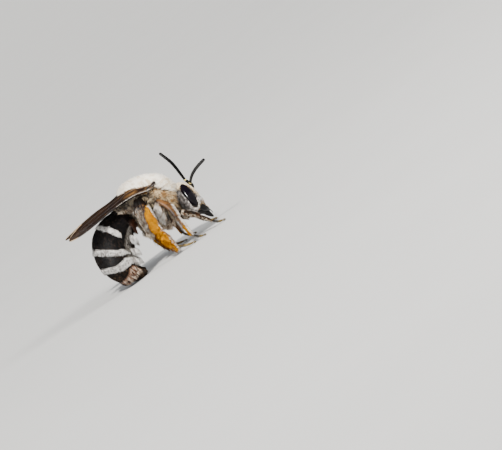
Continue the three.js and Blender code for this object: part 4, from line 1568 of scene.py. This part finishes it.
POLLEN_PATH = [
    (1.20, -2.80, 5.55), (1.12, -2.84, 5.10), (0.93, -2.88, 4.55), (0.85, -2.92, 4.00), (0.78, -2.94, 3.40),
    (0.72, -2.96, 2.90), (0.76, -2.99, 2.40), (0.87, -3.02, 1.90), (0.95, -3.03, 1.40), (1.04, -3.03, 0.95),
    (1.10, -3.02, 0.55),
]
POLLEN_RADII = (0.08, 0.18, 0.36, 0.42, 0.43, 0.39, 0.41, 0.45, 0.41, 0.33, 0.2)


def pollen_lumps(points):
    """Heaps, clods and grains."""
    return 0.12 * lumps(points, 0.45, 31) + 0.07 * lumps(points, 0.16, 32) + 0.04 * lumps(points, 0.07, 33)


def pollen_surface(share, angle):
    """The load's surface, lumpy all over."""
    points = tube_surface(POLLEN_PATH, POLLEN_RADII, 0.62)(share, angle)
    middle = spline(POLLEN_PATH, share)
    return middle + (points - middle) * (1 + pollen_lumps(points))[:, None]


def make_pollen():
    """The load packed round the outside of each hind shin and the long joint under it."""
    load = Shape()
    add_tube(load, pollen_surface, 140, 80, 0.4)
    make_pair(load, "pollen_load", "pollen", POLLEN)


CHART_CELLS = 16
# The share of each leg part's counted tufts that are grown.
LEG_HAIR_SHARE = 0.7


def leg_chart(cell):
    """Each leg part's own strip of the chart."""

    def chart(row, angle):
        along = (cell + 0.05 + 0.9 * np.clip(row, 0, 1)) / CHART_CELLS
        return np.stack([along, 0.02 + 0.46 * ((angle / FULL_TURN) % 1.0)], -1)

    return chart


def ways(roots, way, tight=0.0, loose=0.8):
    """1 where the surface faces the given way."""
    facing_way = (roots.normal * unit(np.array(way, float))).sum(axis=1)
    return smooth_step(tight, loose, facing_way)


def scatter_on_leg(leg, part, count, span, mask):
    """Roots on a leg part, over a span of its length."""
    chart = leg_chart(LEG_PARTS.index(part) + len(LEG_PARTS) * list(LEGS).index(leg))
    return scatter(int(count * LEG_HAIR_SHARE), span, (0, FULL_TURN), mask, leg_surface(leg, part), 1, chart)


def short_hair(shape, leg, part, count, length, width=0.024, lift=26):
    """Short hair all round a leg part, lying down along it."""
    span = (0.03, 0.8 if part == "femur" else 0.97)
    roots = scatter_on_leg(leg, part, count, span, lambda r: np.ones(len(r.row)))
    add_tufts(shape, roots, roots.along, length, math.radians(lift), 0.15, width, 0.25)


def fringe(
    shape, leg, part, count, way, length, lie, span, lift, width=0.034, clump=0.5, tight=0.0, curl=0.45
):
    """A fringe on the side of a leg part that faces one way."""
    roots = scatter_on_leg(leg, part, count, span, lambda r: ways(r, way, tight))
    uneven = length * (1 + 0.25 * lumps(roots.place, 0.3, 41))
    add_tufts(shape, roots, lie, uneven, math.radians(lift), curl, width, 0.25, clump, 0.22)


def leg_coat():
    """Fringes and short hair of the legs, made on the right and mirrored."""
    pale, white, amber, dusted, deep, dark = [Shape() for _ in range(6)]

    for leg, part, count, length in (
        ("fore", "femur", 260, 0.2),
        ("fore", "tibia", 200, 0.17),
        ("fore", "basitarsus", 200, 0.14),
        ("mid", "tibia", 700, 0.16),
        ("hind", "femur", 500, 0.16),
    ):
        short_hair(amber, leg, part, count, length)
    short_hair(dark, "fore", "femur", 300, 0.22)
    short_hair(dark, "fore", "tibia", 300, 0.2)
    for leg in LEGS:
        short_hair(amber, leg, "tarsus", 260, 0.1, 0.018, 30)
        short_hair(amber if leg == "fore" else pale, leg, "coxa", 450, 0.34, 0.036, 40)

    fringe(white, "mid", "femur", 1600, (-0.9, -0.7, 0), 0.86, (-0.6, -0.1, -0.8), (0.25, 0.96),
        28, 0.04, 0.75, 0, 0.1)
    fringe(pale, "mid", "femur", 400, (-0.6, -0.8, -0.2), 0.7, (-0.45, 0, -1), (0.1, 0.85), 24, 0.042, 0.75)
    fringe(dark, "mid", "femur", 260, (-0.3, -0.9, -0.2), 0.8, (-0.5, 0, -1), (0.1, 0.85), 26, 0.036, 0.75)
    fringe(dark, "hind", "femur", 800, (-0.7, -0.6, 0), 0.74, (-0.42, -0.05, -1), (0.1, 0.85),
        22, 0.04, 0.75, 0.1)
    fringe(dusted, "hind", "basitarsus", 500, (-0.3, 1, 0), 0.24, (-0.1, 0, -1), (0, 0.96), 22)
    fringe(amber, "mid", "femur", 500, (0, -0.9, 0), 0.5, (-0.4, 0, -1), (0.6, 0.98), 22, 0.036, 0.7)
    fringe(white, "mid", "basitarsus", 1100, (1, -0.3, 0), 0.36, (0.4, 0, -1), (0, 0.95), 30, 0.036, 0.6)
    fringe(dusted, "mid", "basitarsus", 700, (-1, -0.5, 0), 0.24, (-0.3, 0, -1), (0.4, 0.95), 26)
    fringe(amber, "mid", "basitarsus", 300, (-1, -0.3, 0), 0.24, (-0.3, 0, -1), (0, 0.45), 26)
    fringe(white, "mid", "tibia", 600, (1, 0, -0.4), 0.3, (0.6, 0, -1), (0.5, 1), 34)
    fringe(pale, "fore", "femur", 420, (0.2, -0.5, -0.8), 0.3, (-0.2, 0, -1), (0.1, 0.95), 40)
    fringe(dark, "fore", "femur", 420, (0.2, -0.5, -0.8), 0.28, (-0.2, 0, -1), (0.2, 0.98), 40)
    fringe(pale, "fore", "tibia", 300, (-0.5, -0.3, -0.8), 0.26, (0.3, 0, -1), (0.1, 0.9), 36)
    fringe(pale, "fore", "basitarsus", 160, (-0.5, -0.3, -0.8), 0.2, (0.3, 0, -1), (0.05, 0.95), 36)
    fringe(pale, "hind", "femur", 2400, (-0.8, -0.5, 0), 0.75, (-0.45, -0.05, -1), (0.12, 0.78),
        20, 0.042, 0.7, 0.1)
    fringe(white, "hind", "femur", 700, (-0.8, -0.5, 0), 0.7, (-0.45, -0.05, -1), (0.12, 0.8),
        22, 0.04, 0.75, 0.1)
    fringe(amber, "hind", "femur", 900, (-0.7, -0.6, 0), 0.7, (-0.4, -0.05, -1), (0.1, 0.8),
        20, 0.042, 0.7, 0.1)
    fringe(amber, "hind", "tibia", 700, (-0.9, -0.4, 0), 0.4, (-0.3, 0, -1), (0.1, 0.9), 24, 0.036, 0.6)
    fringe(dusted, "hind", "tibia", 1000, (-0.9, -0.4, 0), 0.34, (-0.25, 0, -1), (0.44, 1), 24)
    fringe(white, "hind", "tibia", 900, (1, -0.12, 0), 0.5, (0.45, 0, -1), (0.22, 0.98),
        31, 0.036, 0.6, 0.4)
    fringe(white, "hind", "basitarsus", 1100, (1, -0.2, 0), 0.46, (0.4, 0, -1), (0, 0.96),
        29, 0.036, 0.6, 0.35)
    fringe(dusted, "hind", "basitarsus", 1200, (-0.6, -1, 0), 0.36, (-0.1, 0, -1), (0, 0.96), 20)
    fringe(amber, "hind", "basitarsus", 700, (-1, -0.2, 0), 0.4, (-0.2, 0, -1), (0, 0.98), 22, 0.036, 0.6)
    for shape, count, low, high in ((dusted, 2600, 0.06, 0.98), (deep, 260, 0.45, 0.98)):
        roots = scatter(
            count, (low, high), (0, FULL_TURN), lambda r: ways(r, (0, -1, 0), -0.3, 0.4),
            pollen_surface, 1, leg_chart(CHART_CELLS - 1),
        )
        lie = DOWN + 0.15 * BACK + 0.3 * rng.normal(size=roots.place.shape)
        length, width = (0.2, 0.04) if shape is dusted else (0.42, 0.026)
        add_tufts(shape, roots, lie, length, math.radians(22), 0.3, width, 0.3, 0.6, 0.12)
    fringe(pale, "hind", "coxa", 500, (-0.3, -1, -0.5), 0.6, (-0.4, -0.2, -1), (0.2, 1), 40, 0.042)
    fringe(pale, "mid", "coxa", 700, (0, -0.6, -1), 0.6, (-0.1, 0, -1), (0, 1), 50, 0.042)
    fringe(pale, "fore", "tibia", 160, (0, -1, 0.4), 0.2, (0.2, -0.2, -1), (0.02, 0.14), 40)

    for shape, name, finish, slot in (
        (pale, "leg_fringe", FRINGE, "leg"),
        (white, "leg_fringe_white", WHITE_FRINGE, "leg"),
        (amber, "leg_short_hair", AMBER_HAIR, "leg"),
        (dusted, "pollen_hair", SCOPA, "pollen"),
        (deep, "pollen_streaks", DEEP_SCOPA, "pollen"),
        (dark, "leg_dark_hair", DARK_FLANK, "leg"),
    ):
        make_pair(shape, name, slot, finish, coat=True)


# ---------------------------------------------------------------- wings

# Right wings seen from above: x, and y of the front and hind edges.
FOREWING_PLAN = [
    (2.70, -2.32, -1.84), (1.75, -2.52, -1.55), (0.55, -2.74, -1.10), (-0.85, -2.94, -0.50),
    (-2.25, -3.06, -0.14), (-3.60, -3.10, -0.14), (-4.62, -3.00, -0.40), (-5.44, -2.76, -0.92),
    (-5.92, -2.42, -1.38), (-6.15, -2.10, -1.75),
]
HINDWING_PLAN = [
    (2.05, -2.28, -1.84), (0.80, -2.48, -1.45), (-0.80, -2.60, -0.72), (-2.20, -2.58, -0.46),
    (-3.35, -2.40, -0.80), (-3.95, -2.08, -1.25), (-4.15, -1.85, -1.50),
]
WING_ROOT = 2.70
WING_ROWS = 96
WING_COLUMNS = 40
WING_BASE = 6.44
WING_RISE = 0.88
WING_RISE_LENGTH = 5.2
WING_DROOP = math.tan(math.radians(12.5))
HINDWING_DROP = 0.22
MEMBRANE_HALF = 0.012

# Veins as share along the wing and share across it from the front edge; the last number is the radius.
FOREWING_VEINS = [
    ([(0.0, 0.1), (0.2, 0.03), (0.45, 0.02), (0.6, 0.015), (0.78, 0.01), (0.9, 0.02), (0.97, 0.12)], 0.048),
    ([(0.0, 0.3), (0.2, 0.16), (0.42, 0.09), (0.57, 0.07)], 0.044),
    ([(0.0, 0.5), (0.15, 0.4), (0.3, 0.34), (0.42, 0.33), (0.5, 0.38), (0.6, 0.44)], 0.04),
    ([(0.0, 0.8), (0.15, 0.78), (0.34, 0.74), (0.52, 0.72), (0.58, 0.64)], 0.036),
    ([(0.36, 0.1), (0.38, 0.22), (0.40, 0.33)], 0.034),
    ([(0.40, 0.33), (0.39, 0.5), (0.36, 0.73)], 0.034),
    ([(0.55, 0.07), (0.56, 0.18), (0.64, 0.25), (0.74, 0.23), (0.82, 0.12), (0.84, 0.02)], 0.032),
    ([(0.47, 0.2), (0.56, 0.18)], 0.032),
    ([(0.40, 0.25), (0.47, 0.2)], 0.032),
    ([(0.55, 0.22), (0.56, 0.32), (0.54, 0.41)], 0.03),
    ([(0.65, 0.25), (0.67, 0.36), (0.65, 0.48)], 0.03),
    ([(0.74, 0.23), (0.77, 0.36), (0.73, 0.5)], 0.03),
    ([(0.54, 0.41), (0.65, 0.48), (0.73, 0.5), (0.78, 0.52)], 0.03),
    ([(0.56, 0.43), (0.58, 0.55), (0.56, 0.68)], 0.028),
    ([(0.69, 0.5), (0.68, 0.62), (0.60, 0.68)], 0.028),
]
HINDWING_VEINS = [
    ([(0.0, 0.2), (0.3, 0.06), (0.6, 0.04), (0.85, 0.08)], 0.034),
    ([(0.0, 0.5), (0.25, 0.36), (0.45, 0.34), (0.7, 0.42)], 0.034),
    ([(0.0, 0.75), (0.2, 0.7), (0.42, 0.72)], 0.032),
    ([(0.42, 0.06), (0.45, 0.2), (0.46, 0.34)], 0.028),
    ([(0.46, 0.34), (0.4, 0.52), (0.42, 0.72)], 0.028),
]


def wing_surface(plan, drop):
    """The right wing's middle surface: share along from the root, share across from the front edge."""
    plan = np.array(plan)
    inner = plan[:, 2].max()

    def surface(share, across):
        x, front, hind = spline(plan, share).T
        y = front + (hind - front) * across
        travel = np.clip((WING_ROOT - x) / WING_RISE_LENGTH, 0, 1)
        z = WING_BASE + WING_RISE * np.sin(travel * math.pi / 2) - drop - travel * WING_DROOP * (inner - y)
        z += 0.52 * smooth_step(0, 0.6, across) * np.exp(-(((x - 0.95) / 1.5) ** 2))
        z -= 0.18 * (1 - across) * np.exp(-(((x - 2.2) / 0.8) ** 2)) + 0.15 * smooth_step(-2.0, -6.0, x)
        fold = 0.045 * np.sin(across * 3.2 * FULL_TURN + share * 2.0) * np.sin(share * math.pi) ** 0.5
        fine = 0.01 * np.sin(across * 7 * FULL_TURN + 3 * share) * smooth_step(0.6, 0.85, share)
        return np.stack([x, y, z + fold + fine], -1)

    return surface


def make_wing(name, plan, drop, veins):
    """A wing's thin closed membrane and its veins, on both sides."""
    surface = wing_surface(plan, drop)
    rows, columns = WING_ROWS, WING_COLUMNS
    share = np.repeat(np.linspace(0, 1, rows), columns)
    across = np.tile(np.linspace(0, 1, columns), rows)
    edge = np.minimum(across, 1 - across)
    half = (MEMBRANE_HALF * np.sqrt(np.clip(edge / 0.03, 0.04, 1)))[:, None] * [0, 0, 1]
    middle = surface(share, across)
    face = sheet_grid(rows, columns)
    total = rows * columns
    right = Shape()
    rim = np.concatenate([
        np.arange(columns),
        np.arange(1, rows) * columns + columns - 1,
        (rows - 1) * columns + np.arange(columns - 2, -1, -1),
        np.arange(rows - 2, 0, -1) * columns,
    ])
    following = np.roll(rim, -1)
    edges = np.stack([rim, following, following + total, rim + total], -1)
    right.add(np.vstack([middle + half, middle - half]), np.vstack([face, face[:, ::-1] + total, edges]))
    lines = Shape()
    for route, radius in veins:
        route = np.array(route)
        steps = np.linspace(0, 1, 12 * len(route))
        places = spline(route, steps)
        path = surface(places[:, 0], np.clip(places[:, 1], 0.004, 0.996))
        taper = np.linspace(1, 0.72, len(path)) * radius
        add_tube(lines, tube_surface(path, taper, 0.9), 16 * len(route), 10, 0.4)
    left = Shape()
    left.add_mirror(right)
    left_lines = Shape()
    left_lines.add_mirror(lines)
    for membrane, vein, word in ((right, lines, "right"), (left, left_lines, "left")):
        membrane.make(f"{name}_membrane_{word}", "wing", [MEMBRANE], [f"{name}_{word}"])
        vein.make(f"{name}_veins_{word}", "wing", [VEIN_SHELL])


def wing_chart(share, across):
    return np.stack([share, 0.5 * across], -1)


def wing_edge_highlights():
    """Short white hair on the front edge of each forewing near its root, and the pale rim by its tip: both
    painted highlights along the edges.
    """
    surface = wing_surface(FOREWING_PLAN, 0.0)
    hair = Shape()
    # Painted highlight: white hair where the front edge catches the light.
    roots = scatter(260, (0.03, 0.36), (0, 0.06), lambda r: 1.1 - 3.0 * r.row, surface, 1, wing_chart)
    lie = BACK * 0.5 + sideways(roots) + DOWN * 0.4
    add_tufts(hair, roots, lie, 0.1, math.radians(20), 0.2, 0.03, 0.4)
    rim = Shape()
    # Painted highlight: a pale rim along both edges near the tip.
    for low, high, edge in ((0.76, 0.98, 0.004), (0.62, 0.985, 0.996)):
        path = surface(np.linspace(low, high, 12), np.full(12, edge))
        add_tube(rim, tube_surface(path, np.full(12, 0.038)), 60, 10, 0.4)
    make_pair(hair, "wing_edge_highlights", "wing", WHITE_FRINGE, coat=True)
    make_pair(rim, "wing_edge_highlight_rim", "wing", EDGE_HIGHLIGHT)


def make_wings():
    """Both pairs of wings, and the hinge plates over their roots."""
    make_wing("forewing", FOREWING_PLAN, 0.0, FOREWING_VEINS)
    make_wing("hindwing", HINDWING_PLAN, HINDWING_DROP, HINDWING_VEINS)
    hinge = Shape()
    add_ball(hinge, np.array([2.98, -2.02, 6.46]), (0.32, 0.25, 0.19), 24, 32, 0.2, 0.3)
    path = [(2.95, -2.0, 6.4), (2.6, -2.2, 6.42), (2.2, -2.4, 6.5)]
    add_tube(hinge, tube_surface(path, (0.16, 0.13, 0.06), 0.7), 20, 18, 0.5)
    stigma = wing_surface(FOREWING_PLAN, 0.0)(np.array([0.56]), np.array([0.06]))[0]
    add_ball(hinge, stigma, (0.2, 0.07, 0.04), 12, 20)
    make_pair(hinge, "wing_hinge", "shell", TEGULA_SHELL, "tegula")


# ---------------------------------------------------------------- putting it together


FLOOR_HALF_METRES = 40
SUN_PLACE = (-20, -150, 150)
SUN_WIDTH = math.radians(7)


def make_floor():
    """One wide square at height 0."""
    mesh = bpy.data.meshes.new("floor")
    half = FLOOR_HALF_METRES
    corners = [(-half, -half, 0), (half, -half, 0), (half, half, 0), (-half, half, 0)]
    mesh.from_pydata(corners, [], [(0, 1, 2, 3)])
    mesh.materials.append(FLOOR)
    ground = bpy.data.objects.new("floor", mesh)
    bpy.context.scene.collection.objects.link(ground)


def make_light():
    """A soft sun high on the bee's right, a pale room, a strip that lights the eye and a fill from ahead."""
    world = bpy.data.worlds.new("studio")
    world.use_nodes = True
    backdrop = world.node_tree.nodes["Background"]
    backdrop.inputs["Color"].default_value = (0.93, 0.96, 1.0, 1)
    backdrop.inputs["Strength"].default_value = 0.5
    bpy.context.scene.world = world
    data = bpy.data.lights.new("key sun", "SUN")
    data.energy = 6.4
    data.angle = SUN_WIDTH
    data.color = (1.0, 0.97, 0.92)
    key = bpy.data.objects.new("key sun", data)
    bpy.context.scene.collection.objects.link(key)
    aim(key, SUN_PLACE)
    key.visible_glossy = False
    strip = soft_box("eye strip", (-130, -110, 13), (18, 28), 0.9, (1.0, 0.99, 0.97))
    strip.visible_diffuse = False
    fill = soft_box("side fill", (150, -170, 110), (90, 60), 0.8, (1.0, 0.98, 0.95))
    fill.visible_glossy = False


set_camera()
make_light()
make_floor()
make_skin()
for side_word, side_angles in SIDES:
    plush_coat(side_word, side_angles)
    side_coat(side_word, side_angles)
    waist_coat(side_word, side_angles)
    head_coat(side_word, side_angles)
    abdomen_coat(side_word, side_angles)
    base_and_belly_coat(side_word, side_angles)
make_eyes()
make_feelers()
make_mouth()
make_legs()
make_pollen()
leg_coat()
make_wings()
wing_edge_highlights()
